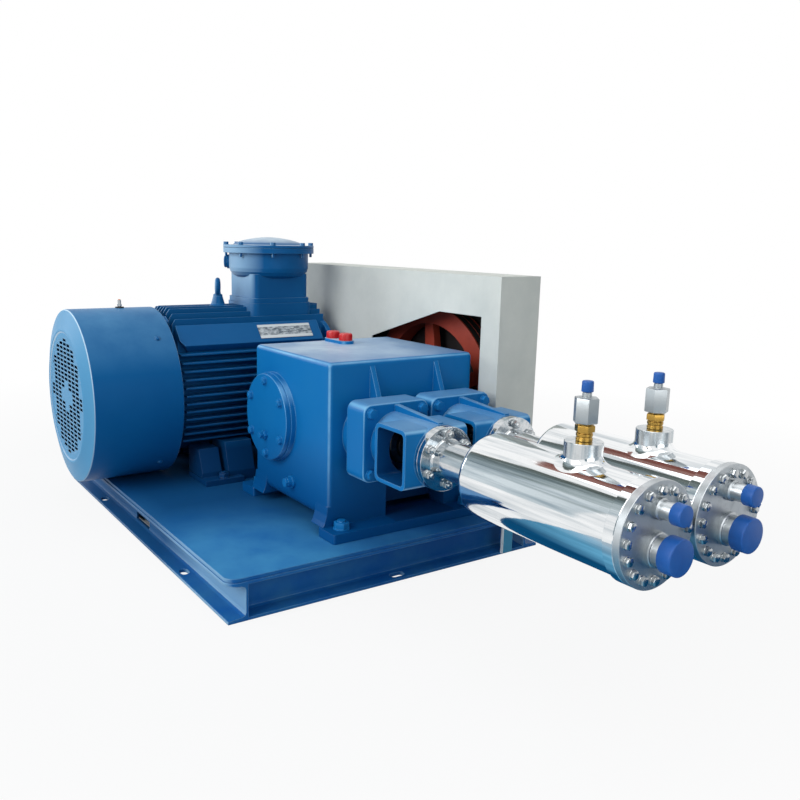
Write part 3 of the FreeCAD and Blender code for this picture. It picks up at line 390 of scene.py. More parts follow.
def metal(name, shade, rough, wave_mm, wave, stain, dark=STAIN, drawn=None):
    """Bare metal: rolled, turned or polished, with broad waves in the sheet and slight stains."""
    material, tree, place = new_finish(name)
    patch = noise(tree, place, 60.0, 5.0, 0.65)
    colour = blend(tree, ranged(tree, patch, 0.5, 0.8, 0.0, stain), shade, dark)
    shine = ranged(tree, patch, 0.0, 1.0, rough * 0.8, rough * 1.4)
    bump = bumped(tree, noise(tree, place, 1000.0 / wave_mm, 1.0), wave, 0.002)
    if drawn:
        # Marks of rolling and polishing run one way: their count per metre in x, y and z, then haze and depth; the
        # haze lays bluish grey streaks in the colour, partly polishing marks and partly painted reflection
        *count, haze, depth = drawn
        lay = add(tree, "ShaderNodeMapping", {"Scale": count, "Vector": place}).outputs[0]
        marks = noise(tree, lay, 1.0, 3.0, 0.65)
        colour = blend(tree, ranged(tree, marks, 0.42, 0.72, 0.0, haze), colour, "#8397a3")
        bump = bumped(tree, marks, depth, 0.001, bump)
    principled(tree, {"Metallic": 1.0, "Base Color": colour, "Roughness": shine, "Normal": bump})
    return material


def plate_finish(name, box):
    """A blank plate: a bright edge round a darker field that has been rubbed along its length."""
    edge_width = 0.006
    middle = [(a + b) / 2.0 for a, b in zip(*box)]
    half = [(b - a) / 2.0 for a, b in zip(*box)]
    material, tree, place = new_finish(name)
    off = axes(tree, vectors(tree, "ABSOLUTE", vectors(tree, "SUBTRACT", place, middle)))
    across = maths(tree, "SUBTRACT", off[0], half[0] - edge_width)
    above = maths(tree, "SUBTRACT", off[2], half[2] - edge_width)
    edge = maths(tree, "GREATER_THAN", maths(tree, "MAXIMUM", across, above), 0.0)
    lay = add(tree, "ShaderNodeMapping", {"Scale": (28.0, 60.0, 190.0), "Vector": place}).outputs[0]
    rubbed = ranged(tree, noise(tree, lay, 1.0, 4.0, 0.7), 0.4, 0.62)
    both = blend(tree, edge, blend(tree, rubbed, "#46535e", "#a9b2b8"), "#b9c1c5")
    principled(tree, {"Metallic": 0.6, "Roughness": 0.36, "Base Color": both})
    return material


def moulded(name, shade, other, rough, grain_mm=0.6):
    """Moulded plastic or rubber with a fine grain and a little unevenness in its colour."""
    material, tree, place = new_finish(name)
    colour = blend(tree, noise(tree, place, 45.0, 3.0), shade, other)
    bump = bumped(tree, noise(tree, place, 1000.0 / grain_mm / 3.0), 0.2, 0.0001)
    principled(tree, {"Roughness": rough, "Base Color": colour, "Normal": bump})
    return material


class PumpColours(bpy.types.PropertyGroup):
    """Colours that a user would change."""

    enamel: bpy.props.StringProperty(
        name="Pump enamel", description="Colour of the crankcase, sRGB hex", default="#0f6eb0"
    )
    motor: bpy.props.StringProperty(
        name="Motor enamel", description="Colour of the motor, sRGB hex", default="#0b5892"
    )
    deck: bpy.props.StringProperty(name="Skid enamel", description="Colour of the skid, sRGB hex", default="#0f59a0")
    guard: bpy.props.StringProperty(
        name="Guard paint", description="Colour of the belt guard, sRGB hex", default="#d6dbd6"
    )
    caps: bpy.props.StringProperty(
        name="Transport caps", description="Colour of the plastic caps, sRGB hex", default="#0a4fa0"
    )


class PumpStage(bpy.types.PropertyGroup):
    """Sizes of the studio."""

    floor: bpy.props.FloatProperty(name="Floor", description="Side of the floor", default=14.0, unit="LENGTH")
    key: bpy.props.FloatProperty(
        name="Key lamp", description="Power of the lamp on the fan side", default=100.0, subtype="POWER"
    )
    fill: bpy.props.FloatProperty(
        name="Fill lamp", description="Power of the lamp at the cold ends", default=26.0, subtype="POWER"
    )
    side: bpy.props.FloatProperty(
        name="Side lamp", description="Power of the lamp behind the fan", default=60.0, subtype="POWER"
    )
    top: bpy.props.FloatProperty(
        name="Top lamp", description="Power of the lamp above", default=36.0, subtype="POWER"
    )
    world: bpy.props.FloatProperty(name="Surround", description="Strength of the even light", default=0.28, min=0.0)


METALS = {
    # Mirror polished stainless: clear reflections, broad waves of the rolled tube
    "mirror_stainless": ("#f3f5f6", 0.06, 90.0, 0.05, 0.06, STAIN, (2.5, 55.0, 55.0, 0.75, 0.18)),
    # Turned stainless flange: a little duller
    "turned_stainless": ("#b8bdc0", 0.34, 30.0, 0.06, 0.45, "#7f868a"),
    # Polished neck and flange: clear reflections with the marks of the last cut
    "bright_turned": ("#d5d8da", 0.12, 30.0, 0.05, 0.12, STAIN, (6.0, 90.0, 90.0, 0.7, 0.25)),
    # The bosses stand upright, so their marks do too
    "bright_boss": ("#cdd1d3", 0.20, 30.0, 0.05, 0.15, STAIN, (90.0, 90.0, 5.0, 0.8, 0.3)),
    # Bright fasteners: small sharp reflections
    "bright_fastener": ("#b9bdbf", 0.17, 12.0, 0.10, 0.25),
    # Satin steel valve body: soft, even grey
    "satin_steel": ("#a9afb2", 0.36, 20.0, 0.05, 0.2),
    # Brass fitting: warm yellow with darker stains
    "turned_brass": ("#ad8a44", 0.24, 15.0, 0.08, 0.35, "#6a4f22"),
    # Hard chrome rod: a smooth bright mirror
    "hard_chrome": ("#cfd2d4", 0.08, 80.0, 0.02, 0.1),
    # Machined steel inside: dull grey
    "machined_steel": ("#8c8f92", 0.35, 20.0, 0.1, 0.3),
    # Grey iron inside: dark and rough
    "grey_iron": ("#55585a", 0.55, 8.0, 0.3, 0.5, "#2e2f30"),
    # Laminated core with varnished windings: brown, with dark patches
    "varnished_core": ("#6b4a32", 0.45, 10.0, 0.3, 0.4, "#2b2420"),
    # Copper-coloured tip of the grease point
    "copper_tip": ("#b5673f", 0.3, 10.0, 0.06, 0.3, "#6a3a22"),
}
PLASTICS = {
    # Filler caps of red polyamide: smooth and rather glossy
    "red_polyamide": ("#d3121a", "#b80f16", 0.30),
    # Black fan plastic and rubber: dull
    "black_plastic": ("#15171a", "#1f2226", 0.5),
    "black_rubber": ("#121314", "#1c1d1e", 0.62, 0.9),
    # Oiled bellows: black rubber with a wet gloss
    "oiled_rubber": ("#0c0b0a", "#211a14", 0.14, 1.5),
}
DRESSED = {
    "deck_enamel": "skid_frame deck_plate",
    "pump_enamel": "crankcase bearing_cover_plain bearing_cover_drive",
    "bolt_enamel": "bearing_cover_bolts bearing_cover_fitting drain_plug crankcase_bolts distance_piece_bolts",
    "window_enamel_1": "distance_piece_1",
    "window_enamel_2": "distance_piece_2",
    "motor_enamel": "motor_frame motor_drive_end_shield motor_fan_end_shield motor_foot_bolts terminal_box "
    "terminal_box_lid terminal_lid_bolts blanking_plug eye_bolt fan_cover_screws",
    "cover_enamel": "fan_cover",
    "guard_enamel": "belt_guard",
    "red_oxide": "large_sheave",
    "mirror_stainless": "vacuum_jacket_1 vacuum_jacket_2",
    "turned_stainless": "end_cover_1 end_cover_2 cold_cylinder_1 cold_cylinder_2",
    "bright_fastener": "mount_flange_studs end_cover_bolts grease_nipple",
    "satin_steel": "check_valves",
    "turned_brass": "brass_fittings",
    "hard_chrome": "piston_rod_1 piston_rod_2 gudgeon_pin_1 gudgeon_pin_2",
    "machined_steel": "motor_rotor crankshaft motor_bearings main_bearings connecting_rod_1 connecting_rod_2 "
    "crosshead_1 crosshead_2",
    "grey_iron": "motor_sheave",
    "varnished_core": "motor_stator",
    "satin_plate": "motor_nameplate",
    "polyethylene": "discharge_caps suction_caps gas_return_caps",
    "red_polyamide": "oil_filler_caps",
    "black_plastic": "cooling_fan",
    "black_rubber": "rod_seals v_belts",
}


def dress(node, name):
    """Gives a solid of the frame its finish."""
    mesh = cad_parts[node].data
    if not mesh.materials:
        mesh.materials.append(FINISH[name])
    for i in range(len(mesh.materials)):
        mesh.materials[i] = FINISH[name]


class PUMP_OT_finishes(bpy.types.Operator):
    """Makes every finish and gives each solid its own"""

    bl_idname = "pump.finishes"
    bl_label = "Finishes"

    def execute(self, context):
        c = context.scene.pump_colours
        sharp = 0.0001

        def coat(name, *given, **more):
            FINISH[name] = enamel(name, *given, **more)

        # Two-pack enamel on cast iron: soft orange peel, a clear gloss, painted shade towards the foot and in the
        # front recess, painted highlights on the edges, and dust with painted sheen on the top
        low = ((0.28, 0.08, 0.02), (0.50, 0.50, 0.28), "#06508c", 0.16)
        pocket_shade = ((0.4455, 0.116, 0.1655), (0.0545, 0.085, 0.0572), "#0d437a", sharp)
        dust_and_sheen_top = ("#d6e8f4", 1.0, 0.465, 0.93, (0.20, 0.0, 0.471))
        cast = {"rough": 0.30, "round_mm": 2.6, "slopes": False}
        coat("pump_enamel", c.enamel, "#8ccdf2", "#1873b0", inside=[low, pocket_shade], film=dust_and_sheen_top, rim=0.65, **cast)
        # The same enamel brushed over bolt heads, with a painted highlight on their edges
        coat("bolt_enamel", c.enamel, "#6fb4e0", "#1873b0", 0.34, round_mm=1.0)
        # The same enamel on the distance pieces, with painted shade on the walls within their windows, dust with
        # painted sheen on faces that look up, and painted highlights on the edges
        for n, y in zip("12", CYLINDER_Y):
            painted_shade_inside = ((0.640, y * MM, 0.311), (0.0435, 0.0855, 0.0525), "#0c4a82", sharp)
            window_dust_and_sheen = ("#8fb6d2", 0.45, 0.3, 0.6)
            coat("window_enamel_" + n, c.enamel, "#8ccdf2", "#1873b0", inside=[painted_shade_inside], film=window_dust_and_sheen, rim=0.6, **cast)
        # Motor enamel: a darker coat on finned cast iron, with painted shade low down on its mounting lugs, dust with
        # painted sheen on the box's lid, faces towards the fan end painted paler as if lit, and painted highlights on
        # the edges
        feet_shade = ((-0.2535, 0.0, 0.10), (0.34, 0.30, 0.12), "#083c6c", 0.05)
        lid = ("#d3e6f1", 0.9, 0.695, 0.88)
        end = ("#9cc3df", 0.7, 0.50)
        coat("motor_enamel", c.motor, "#86bfe2", "#12639c", 0.36, inside=[feet_shade], film=lid, rim=0.45, face=end)
        # Fan cover: the same coat on smooth pressed sheet, with a painted highlight on the rolled edge and the other
        # edges, its end painted paler as if lit, and dust with painted sheen on faces that look up
        cover_dust_and_sheen = ("#6aa5cf", 0.55, 0.3, 0.35)
        sheet = {"peel_mm": 3.0, "peel": 0.1, "gloss": 0.05, "rim": 0.7, "lip_highlight": 0.85}
        coat("cover_enamel", c.motor, "#d5ecf8", "#126199", 0.34, film=cover_dust_and_sheen, face=("#62a6cc", 0.62, -1.0), **sheet)
        # Skid: enamel with dust and painted sheen on top, palest at the near corner, painted shade under the motor, a
        # painted lit face and highlight on the strap, and the side towards the fan painted paler as if lit
        strap_painted_light = ((0.5675, 0.3055, 0.04), (0.0045, 0.0172, 0.0375), "#4796bd", sharp)
        strap_edge_highlight = ((0.5675, 0.2908, 0.04), (0.0045, 0.0016, 0.0375), "#f2fafd", sharp)
        shady = ((-0.25, 0.0, 0.05), (0.60, 0.60, 0.30), "#114a7b", 0.25)
        plate = {"inside": [shady, strap_painted_light, strap_edge_highlight], "face": ("#86b2cf", 0.7, -1.0), "rim": 0.5, "round_mm": 3.0}
        deck_dust_and_sheen = ("#4593c4", 0.8, 0.08, 0.9, (0.56, -0.36, 0.088), 0.55)
        coat("deck_enamel", c.deck, "#8fc4e4", "#3a7ca6", 0.42, 2.2, 0.2, 0.5, film=deck_dust_and_sheen, **plate)
        # Guard: pale enamel on folded steel sheet, with painted shade on the inner faces
        painted_shade_inside = ((0.06825, 0.339, 0.30), (0.4659, 0.0587, 0.3488), "#2b2829", sharp)
        coat("guard_enamel", c.guard, "#e2e7e4", "#b9c1be", 0.50, 2.5, 0.15, 0.5, 0.2, inside=[painted_shade_inside])
        # Red oxide primer: dull, with handling marks and a painted highlight on the edges
        coat("red_oxide", "#a8402c", "#c96a52", "#7d2c22", 0.50, 1.5, 0.4, 0.7, 0.3)
        # Satin aluminium plate: rubbed and blank
        FINISH["satin_plate"] = plate_finish("satin_plate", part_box("motor_nameplate"))
        # Polyethylene transport caps: waxy, with a coarse grain
        FINISH["polyethylene"] = moulded("polyethylene", c.caps, "#1461b4", 0.45, 0.8)
        for name, given in METALS.items():
            FINISH[name] = metal(name, *given)
        for name, given in PLASTICS.items():
            FINISH[name] = moulded(name, *given)
        for name, nodes in DRESSED.items():
            for node in nodes.split():
                dress(node, name)
        return {"FINISHED"}


class PUMP_OT_fan_cover(bpy.types.Operator):
    """Pressed fan cover with its slotted grille and screws"""

    bl_idname = "pump.fan_cover"
    bl_label = "Fan cover"

    def execute(self, context):
        self.shell()
        self.grille()
        bm = bmesh.new()
        r = COVER_R + 0.1
        for deg in (45, 135, 225, 313):
            t = math.radians(deg)
            out = (math.cos(t), 0.0, math.sin(t))
            spot = (MOTOR_X + r * out[0], -299.0, MOTOR_Z + r * out[2])
            profile = [(-4, 0), (-4, 3), (0, 3), (0, 7.5), (0.8, 7.5), (0.8, 6.4), (3.2, 5.6), (4.5, 3.4), (4.5, 0)]
            add_turned(bm, profile, facing(spot, out), 24)
        piece("fan_cover_screw_heads", bm, "motor_enamel", "fan_cover_screws", 35)
        return {"FINISHED"}

    def shell(self):
        """A thin can with a rolled front edge, and a raised ring that holds the grille."""
        r, wall, length = COVER_R, 2.2, COVER_BACK - COVER_FRONT
        # The ring's crest stands before the can's front, with this radius
        crest, eye = -12.0, 172.0
        outer = [(length, r), (5, r)] + rounded(5, r - 5, 5, 90, 165)[1:]
        outer += [(crest + 2.4, eye + 5), (crest + 0.2, eye + 1), (crest, eye - 2), (crest + 1.2, eye - 5)]
        outer += [(crest + 3.8, eye - 7), (crest + 3.8, 150)]
        inner = [(crest + 4.8, 150), (crest + 4.8, eye - 8), (crest + 2.8, eye), (crest + 3.4, eye + 5)]
        inner += [(1.8, r - 8), (5, r - wall), (length, r - wall)]
        bm = bmesh.new()
        add_turned(bm, outer + inner, facing((MOTOR_X, COVER_FRONT, MOTOR_Z), LEFT), 128)
        piece("fan_cover_shell", bm, "cover_enamel", "fan_cover", 35, 0.5)

    def grille(self):
        """A round sheet with rows of slots, closed at its rim and in its middle."""
        columns, rows = 9, 27
        slot_x, bar_x, slot_z, bar_z = 28.5, 6.5, 7.2, 4.1
        sheet_r, slots_r, boss_r, same = 170.0, 156.0, 40.0, 0.1
        bm = bmesh.new()
        bmesh.ops.create_grid(bm, x_segments=2 * columns + 1, y_segments=2 * rows + 1, size=1.0)

        def line(value, count, slot, bar):
            """Moves an even grid line to the edge of its slot."""
            step = round((value + 1.0) / 2.0 * (2 * count + 1))
            whole = count * slot + (count + 1) * bar
            return (step // 2) * (slot + bar) + (step % 2) * bar - whole / 2.0

        for v in bm.verts:
            v.co = (line(v.co.x, columns, slot_x, bar_x), line(v.co.y, rows, slot_z, bar_z), 0.0)
        gone = []
        for f in bm.faces:
            far = max(v.co.length for v in f.verts)
            width, height = (max(v.co[i] for v in f.verts) - min(v.co[i] for v in f.verts) for i in (0, 1))
            is_slot = abs(width - slot_x) < same and abs(height - slot_z) < same
            if far > sheet_r or (is_slot and far < slots_r and f.calc_center_median().length > boss_r):
                gone.append(f)
        bmesh.ops.delete(bm, geom=gone, context="FACES")
        bmesh.ops.scale(bm, vec=(MM, MM, MM), verts=bm.verts)
        bmesh.ops.recalc_face_normals(bm, faces=bm.faces)
        bmesh.ops.solidify(bm, geom=bm.faces[:], thickness=0.9 * MM)
        place = Matrix.Translation(at(MOTOR_X, COVER_FRONT - 7.6, MOTOR_Z)) @ Matrix.Rotation(math.pi / 2, 4, "X")
        bmesh.ops.transform(bm, matrix=place, verts=bm.verts)
        bmesh.ops.recalc_face_normals(bm, faces=bm.faces)
        piece("fan_cover_grille", bm, "cover_enamel", "fan_cover", 35)


class PUMP_OT_motor_trim(bpy.types.Operator):
    """Terminal box lid, bolts, plug, eye bolt and grease nipple"""

    bl_idname = "pump.motor_trim"
    bl_label = "Motor trim"

    def execute(self, context):
        # A domed lid with a spigot ring, hollow from below
        lid = [(0, 92), (0, 127.6), (0.9, 127.6), (0.9, 129.4), (1.6, 130), (7.2, 130), (8, 129.2), (8, 109)]
        lid += [(8.6, 105), (10, 101), (12.6, 97), (17, 86), (21, 73), (24.4, 58), (27.4, 40), (29.8, 20), (30.6, 0)]
        lid += [(25, 0), (22, 38), (17, 62), (8, 92)]
        bm = bmesh.new()
        add_turned(bm, lid, facing((MOTOR_X, BOX_Y, BOX_RIM_Z), UP), 128)
        piece("terminal_lid_dome", bm, "motor_enamel", "terminal_box_lid", 32)
        bm = bmesh.new()
        shank = [(-33, 0), (-33, 3), (-32, 3.8), (0, 3.8), (0, 0)]
        for _, x, y in circle(8, 122.2, 23.6):
            spot = (MOTOR_X + x, BOX_Y + y, LID_BOLT_Z)
            add_bolt(bm, spot, UP, 13, 7, 1.2, turn=20)
            add_turned(bm, shank, facing(spot, UP), 16)
        piece("lid_bolt_heads", bm, "motor_enamel", "terminal_lid_bolts")
        bm = bmesh.new()
        angle = math.radians(236.0)
        out = (math.cos(angle), math.sin(angle), 0)
        spot = (MOTOR_X + 98 * out[0], BOX_Y + 98 * out[1], 657)
        plug = [(0, 0), (0, 12), (23.5, 12), (23.5, 16), (24.5, 17), (29.5, 17), (30.5, 16), (30.5, 0)]
        add_turned(bm, plug, facing(spot, out), 40)
        piece("plug_disc", bm, "motor_enamel", "blanking_plug")
        self.eye()
        self.grease_point()
        return {"FINISHED"}

    def eye(self):
        """A ring of round bar, turned 29 degrees from the motor's length, on a flanged foot."""
        bm = bmesh.new()
        stand = Matrix.Translation(at(MOTOR_X, EYE_Y, 589)) @ Matrix.Rotation(math.radians(-29), 4, "Z")
        add_turned(bm, rounded(0, 19, 6.5, 0, 342, 19), stand @ Matrix.Rotation(math.pi / 2, 4, "X"), 64)
        foot = [(0, 0), (0, 13), (3.6, 13), (5.2, 11), (6.5, 8.4), (12, 8), (12, 0)]
        add_turned(bm, foot, facing((MOTOR_X, EYE_Y, 563), UP), 40)
        piece("lifting_eye_ring", bm, "motor_enamel", "eye_bolt", 40)

    def grease_point(self):
        """A nipple on a washer, and the pipe that leads from it to the bearing."""
        top = facing((MOTOR_X, GREASE_Y, MOTOR_Z + COVER_R), UP)
        bm = bmesh.new()
        add_turned(bm, [(0, 4), (0, 11), (2.4, 11.6), (3, 10.8), (3, 4)], top, 32)
        piece("grease_washer", bm, "black_rubber", "grease_nipple")
        bm = bmesh.new()
        stem = [(-90, 0), (-90, 4.5), (4, 4.5), (5, 6), (10, 6), (11, 4), (14, 3.6), (14, 0)]
        add_turned(bm, stem, top, 24)
        back = [(0, 0), (0, 4.5), (63, 4.5), (63, 0)]
        add_turned(bm, back, facing((MOTOR_X, GREASE_Y - 3, MOTOR_Z + 114.5), LEFT), 24)
        down = [(-224, 0), (-224, 4.5), (-88, 4.5), (-88, 0)]
        add_turned(bm, down, facing((MOTOR_X, GREASE_Y, MOTOR_Z + 334), UP), 24)
        piece("grease_stem", bm, "bright_fastener", "grease_nipple")
        bm = bmesh.new()
        add_turned(bm, [(13.5, 0), (13.5, 3), (15, 4.2), (18, 4.2), (20, 3.2), (22, 3), (22.8, 2), (23, 0)], top, 24)
        piece("grease_tip", bm, "copper_tip", "grease_nipple")


class PUMP_OT_pump_trim(bpy.types.Operator):
    """Bearing cover, bolts, filler caps and bellows of the crankcase and distance pieces"""

    bl_idname = "pump.pump_trim"
    bl_label = "Pump trim"

    def execute(self, context):
        bm = bmesh.new()
        disc = [(0, 0), (0, 101.9), (0.6, 102.5), (11, 102.5), (12, 101.5), (12, 0)]
        add_turned(bm, disc, facing((CRANK_X, BEARING_FACE_Y, AXIS_Z), (0, -1, 0)), 128)
        piece("bearing_cover_disc", bm, "pump_enamel", "bearing_cover_plain")
        bm = bmesh.new()
        for _, x, z in circle(6, 86, 92):
            x, z = CRANK_X + x, AXIS_Z + z
            add_bolt(bm, (x, BEARING_FACE_Y - 12, z), (0, -1, 0), 17, 7, 1.5, 1.5, 5, 10)
            add_bolt(bm, (x, FAR_BEARING_FACE_Y, z), LEFT, 17, 7, 1.5, 1.0, 5, 10)
        piece("cover_bolt_heads", bm, "bolt_enamel", "bearing_cover_bolts")
        bm = bmesh.new()
        for y in CYLINDER_Y:
            for dy in (-65, 65):
                for dz in (-65, 65):
                    add_bolt(bm, (WINDOW_FLANGE_X, y + dy, AXIS_Z + dz), FORWARD, 19, 8.5, 2.2, turn=10)
        piece("flange_bolt_heads", bm, "bolt_enamel", "distance_piece_bolts")
        bm = bmesh.new()
        for x in (83.0, 476.0):
            for y in (-100.0, 250.0):
                add_bolt(bm, (x, y, 109.5), UP, 30, 13, 2.5, 4, 9.5, 15)
        piece("crankcase_foot_bolts", bm, "bolt_enamel", "crankcase_bolts")
        bm = bmesh.new()
        for x in (MOTOR_X - 223.5, MOTOR_X + 223.5):
            for y in (-152.0, 159.0):
                add_bolt(bm, (x, y, 102.0), UP, 24, 11, 2.5, 3, 7.5, 15)
        piece("motor_foot_bolt_heads", bm, "motor_enamel", "motor_foot_bolts")
        self.filler_caps()
        self.bellows()
        return {"FINISHED"}

    def filler_caps(self):
        """Two caps with ribs to grip them by."""
        bm = bmesh.new()
        cap = [(7.8, 0), (7.8, 15.5), (8.5, 16.5), (23, 16.5), (25, 15.5), (26, 13.5), (26, 0)]
        for x in (130.0, 190.0):
            place = facing((x, 84.5, 471), UP)
            add_turned(bm, cap, place, 48)
            for angle, _, _ in circle(20, 0):
                turn = Matrix.Rotation(math.radians(angle), 4, "Z")
                add_block(bm, place @ turn @ Matrix.Translation(at(16.4, 0, 15.5)), (1.0, 1.8, 13))
        piece("filler_caps", bm, "red_polyamide", "oil_filler_caps", 35)

    def bellows(self):
        """A flange against the wall, then five soft folds over each piston rod."""
        bm = bmesh.new()
        bore, first, pitch = 11.05, 529, 12
        fold = ((1.5, 31), (3.2, 36), (4.4, 39.6), (6, 41), (7.6, 39.6), (8.8, 36), (10.5, 31))
        profile = [(517, bore), (517, 43), (518, 44), (528, 44), (529, 43), (529, 30)]
        for k in range(5):
            profile += [(first + pitch * k + a, r) for a, r in fold]
        profile += [(589, 27.6), (596.5, 27), (597, 26.5), (597, bore)]
        for y in CYLINDER_Y:
            add_turned(bm, profile, facing((0, y, AXIS_Z), FORWARD), 96)
        piece("rod_bellows", bm, "oiled_rubber", "rod_seals", 50)


class PUMP_OT_cold_ends(bpy.types.Operator):
    """Mirror polished jackets, end covers, ports, valves and caps"""

    bl_idname = "pump.cold_ends"
    bl_label = "Cold ends"

    def execute(self, context):
        for n, y in zip("12", CYLINDER_Y):
            self.jacket(n, y)
            self.boss(n, y)
            self.end_cover(n, y)
        self.fittings()
        self.caps()
        bm = bmesh.new()
        for y in CYLINDER_Y:
            for angle, dy, dz in circle(6, 50.5, 30):
                spot = (MOUNT_FLANGE_X, y + dy, AXIS_Z + dz)
                add_bolt(bm, spot, FORWARD, 15, 8, 1.4, 4.5, 4.6, angle - 30)
        piece("flange_nuts", bm, "bright_fastener", "mount_flange_studs")
        bm = bmesh.new()
        for y in CYLINDER_Y:
            for angle, dy, dz in circle(16, 69.5):
                add_bolt(bm, (END_X, y + dy, AXIS_Z + dz), FORWARD, 13, 5.6, 1.2, turn=angle)
        piece("cover_screws", bm, "bright_fastener", "end_cover_bolts")
        return {"FINISHED"}

    def jacket(self, n, y):
        """The mounting flange with its neck, and the jacket with its round shoulder and collar."""
        along = facing((0, y, AXIS_Z), FORWARD)
        r, x0, x1, face = JACKET_R, 836.0, JACKET_END_X, MOUNT_FLANGE_X
        neck = [(700, 24.5), (700, 63.7), (700.8, 64.5), (706.6, 64.5), (707.2, 63.9), (708, 63.9), (708.6, 64.5)]
        neck += [(718.2, 64.5), (face, 63.7), (face, 42), (720, 40.5), (723, 38.6), (727, 38), (x0 + 4, 38)]
        neck += [(x0 + 4, 35), (face, 35), (face, 24.5)]
        bm = bmesh.new()
        add_turned(bm, neck, along, 128)
        piece("jacket_neck_" + n, bm, "bright_turned", "vacuum_jacket_" + n, 28)
        shell = [(x0 - 2, 38.3), (x0 - 1.5, 40), (x0, 42.5), (x0, r - 18)]
        shell += rounded(x0 + 18, r - 18, 18, 180, 90, 8)[1:]
        shell += [(x1 - 21, r), (x1 - 19.6, r + 0.8), (x1 - 19, r + 3.5), (x1 - 18, r + 4.5), (x1 - 0.9, r + 4.5)]
        shell += [(x1, r + 3.6), (x1, r - 14), (x1 - 19, r - 14), (x1 - 22, r - 3)]
        shell += [(x0 + 18, r - 3), (x0 + 5, r - 18), (x0 + 4, 38.3)]
        bm = bmesh.new()
        add_turned(bm, shell, along, 160)
        piece("jacket_shell_" + n, bm, "mirror_stainless", "vacuum_jacket_" + n, 28)

    def boss(self, n, y):
        """The upright boss, and the saddle that is drawn up from the jacket round it."""
        inner, outer, root = 31.0, 45.0, 392.0
        tall = BOSS_TOP - root
        bm = bmesh.new()
        boss = [(0, 8.5), (0, inner), (tall - 1.0, inner), (tall, inner - 1.0), (tall, 8.5)]
        add_turned(bm, boss, facing((BOSS_X, y, root), UP), 96)
        piece("discharge_boss_" + n, bm, "bright_boss", "vacuum_jacket_" + n)
        saddle = [(15.0, inner - 0.3), (11.5, inner), (8.6, inner + 0.7), (6.2, inner + 2.0), (4.1, inner + 4.0)]
        saddle += [(2.4, inner + 6.6), (1.2, inner + 9.6), (0.4, outer - 1.5), (-0.3, outer + 1.5)]
        bm = bmesh.new()
        spin(bm, saddle, 96, closed=False)
        # The flat ring is laid over the round jacket
        for v in bm.verts:
            v.co.z += math.sqrt(max((JACKET_R * MM) ** 2 - v.co.y**2, 0.0))
        bmesh.ops.translate(bm, vec=at(BOSS_X, y, AXIS_Z), verts=bm.verts)
        bmesh.ops.recalc_face_normals(bm, faces=bm.faces)
        piece("boss_saddle_" + n, bm, "mirror_stainless", "vacuum_jacket_" + n, 60)

    def end_cover(self, n, y):
        """A disc with a large and a small stub, each with a weld at its root."""
        bm = bmesh.new()
        disc = [(0, 0), (0, 83.2), (0.8, 84), (11.7, 84), (12.5, 83.2), (12.5, 0)]
        add_turned(bm, disc, facing((JACKET_END_X, y, AXIS_Z), FORWARD), 160)
        for dz, root, stub, bore, reach in ((STUB_DOWN, 27.5, 23.6, 19.5, 41.0), (STUB_UP, 17.0, 14.2, 10.0, 42.0)):
            profile = [(-1, bore), (-1, root), (5.5, root), (7, root - 1.5), (7.4, stub + 0.6)]
            profile += [(9.5, stub), (reach, stub), (reach, bore)]
            add_turned(bm, profile, facing((END_X, y, AXIS_Z + dz), FORWARD), 64)
        piece("end_cover_disc_" + n, bm, "turned_stainless", "end_cover_" + n)

    def fittings(self):
        """A brass union with a valve body on it, for each cylinder."""
        steel = bmesh.new()
        brass = bmesh.new()
        collar = [(0, 0), (0, 12.4), (1, 13.3), (5, 13.3), (6, 12.2), (7.4, 12.2), (8.4, 13.3), (12.6, 13.3)]
        collar += [(13.6, 11.8), (16, 11.8), (16, 0)]
        cone = [(10, 0), (10, 12.5), (12.4, 11.5), (13.4, 11), (13.4, 0)]
        neck = [(40.5, 0), (40.5, 12), (42, 10.5), (42, 7.4), (48, 7.4), (48.6, 6.8)]
        along, thread_end, pitch = 49.0, 61.5, 1.5
        while along < thread_end:
            neck += [(along, 7.2), (along + 0.7, 6.5)]
            along += pitch
        neck += [(63, 6.5), (63, 0)]
        for y, turn in zip(CYLINDER_Y, (51.6, 24.0)):
            add_turned(brass, collar, facing((BOSS_X, y, BOSS_TOP), UP), 48)
            nut = facing((BOSS_X, y, BOSS_TOP + 15.5), UP, turn + 8)
            add_hexagon(brass, nut, 28, 11, 2.2)
            add_turned(brass, cone, nut, 32)
            body = facing((BOSS_X, y, BOSS_TOP + 29), UP, turn)
            add_hexagon(steel, body, 35, 41, 1.8, both=True)
            add_turned(steel, neck, body, 40)
        piece("brass_unions", brass, "turned_brass", "brass_fittings", 30, 0.4)
        piece("valve_bodies", steel, "satin_steel", "check_valves", 30, 0.5)

    def caps(self):
        """Push-on caps with a soft rim, open at the back; the small ones have a pull tab."""
        bm = bmesh.new()
        for y in CYLINDER_Y:
            for point, direction, radius, length, bore, depth in (
                ((1225, y, AXIS_Z + STUB_DOWN), FORWARD, 29.0, 23, 23.9, 20),
                ((1231, y, AXIS_Z + STUB_UP), FORWARD, 17.0, 18, 14.5, 15),
                ((BOSS_X, y, BOSS_TOP + 79), UP, 9.5, 17.5, 7.6, 14),
            ):
                cap = [(0, bore), (0, radius - 0.6), (0.8, radius), (length - 2.4, radius - 0.4)]
                cap += rounded(length - 2.2, radius - 2.6, 2.2, 90, 0, 3)
                cap += [(length, 0), (depth, 0), (depth, bore)]
                add_turned(bm, cap, facing(point, direction), 64)
            spot = Matrix.Translation(at(1245, y + 11.6, AXIS_Z + STUB_UP - 13.8))
            add_block(bm, spot @ Matrix.Rotation(math.radians(-50), 4, "X"), (2.5, 9, 7), 0.8)
        nodes = "suction_caps gas_return_caps discharge_caps"
        piece("transport_caps", bm, "polyethylene", nodes, 40)


# Studio

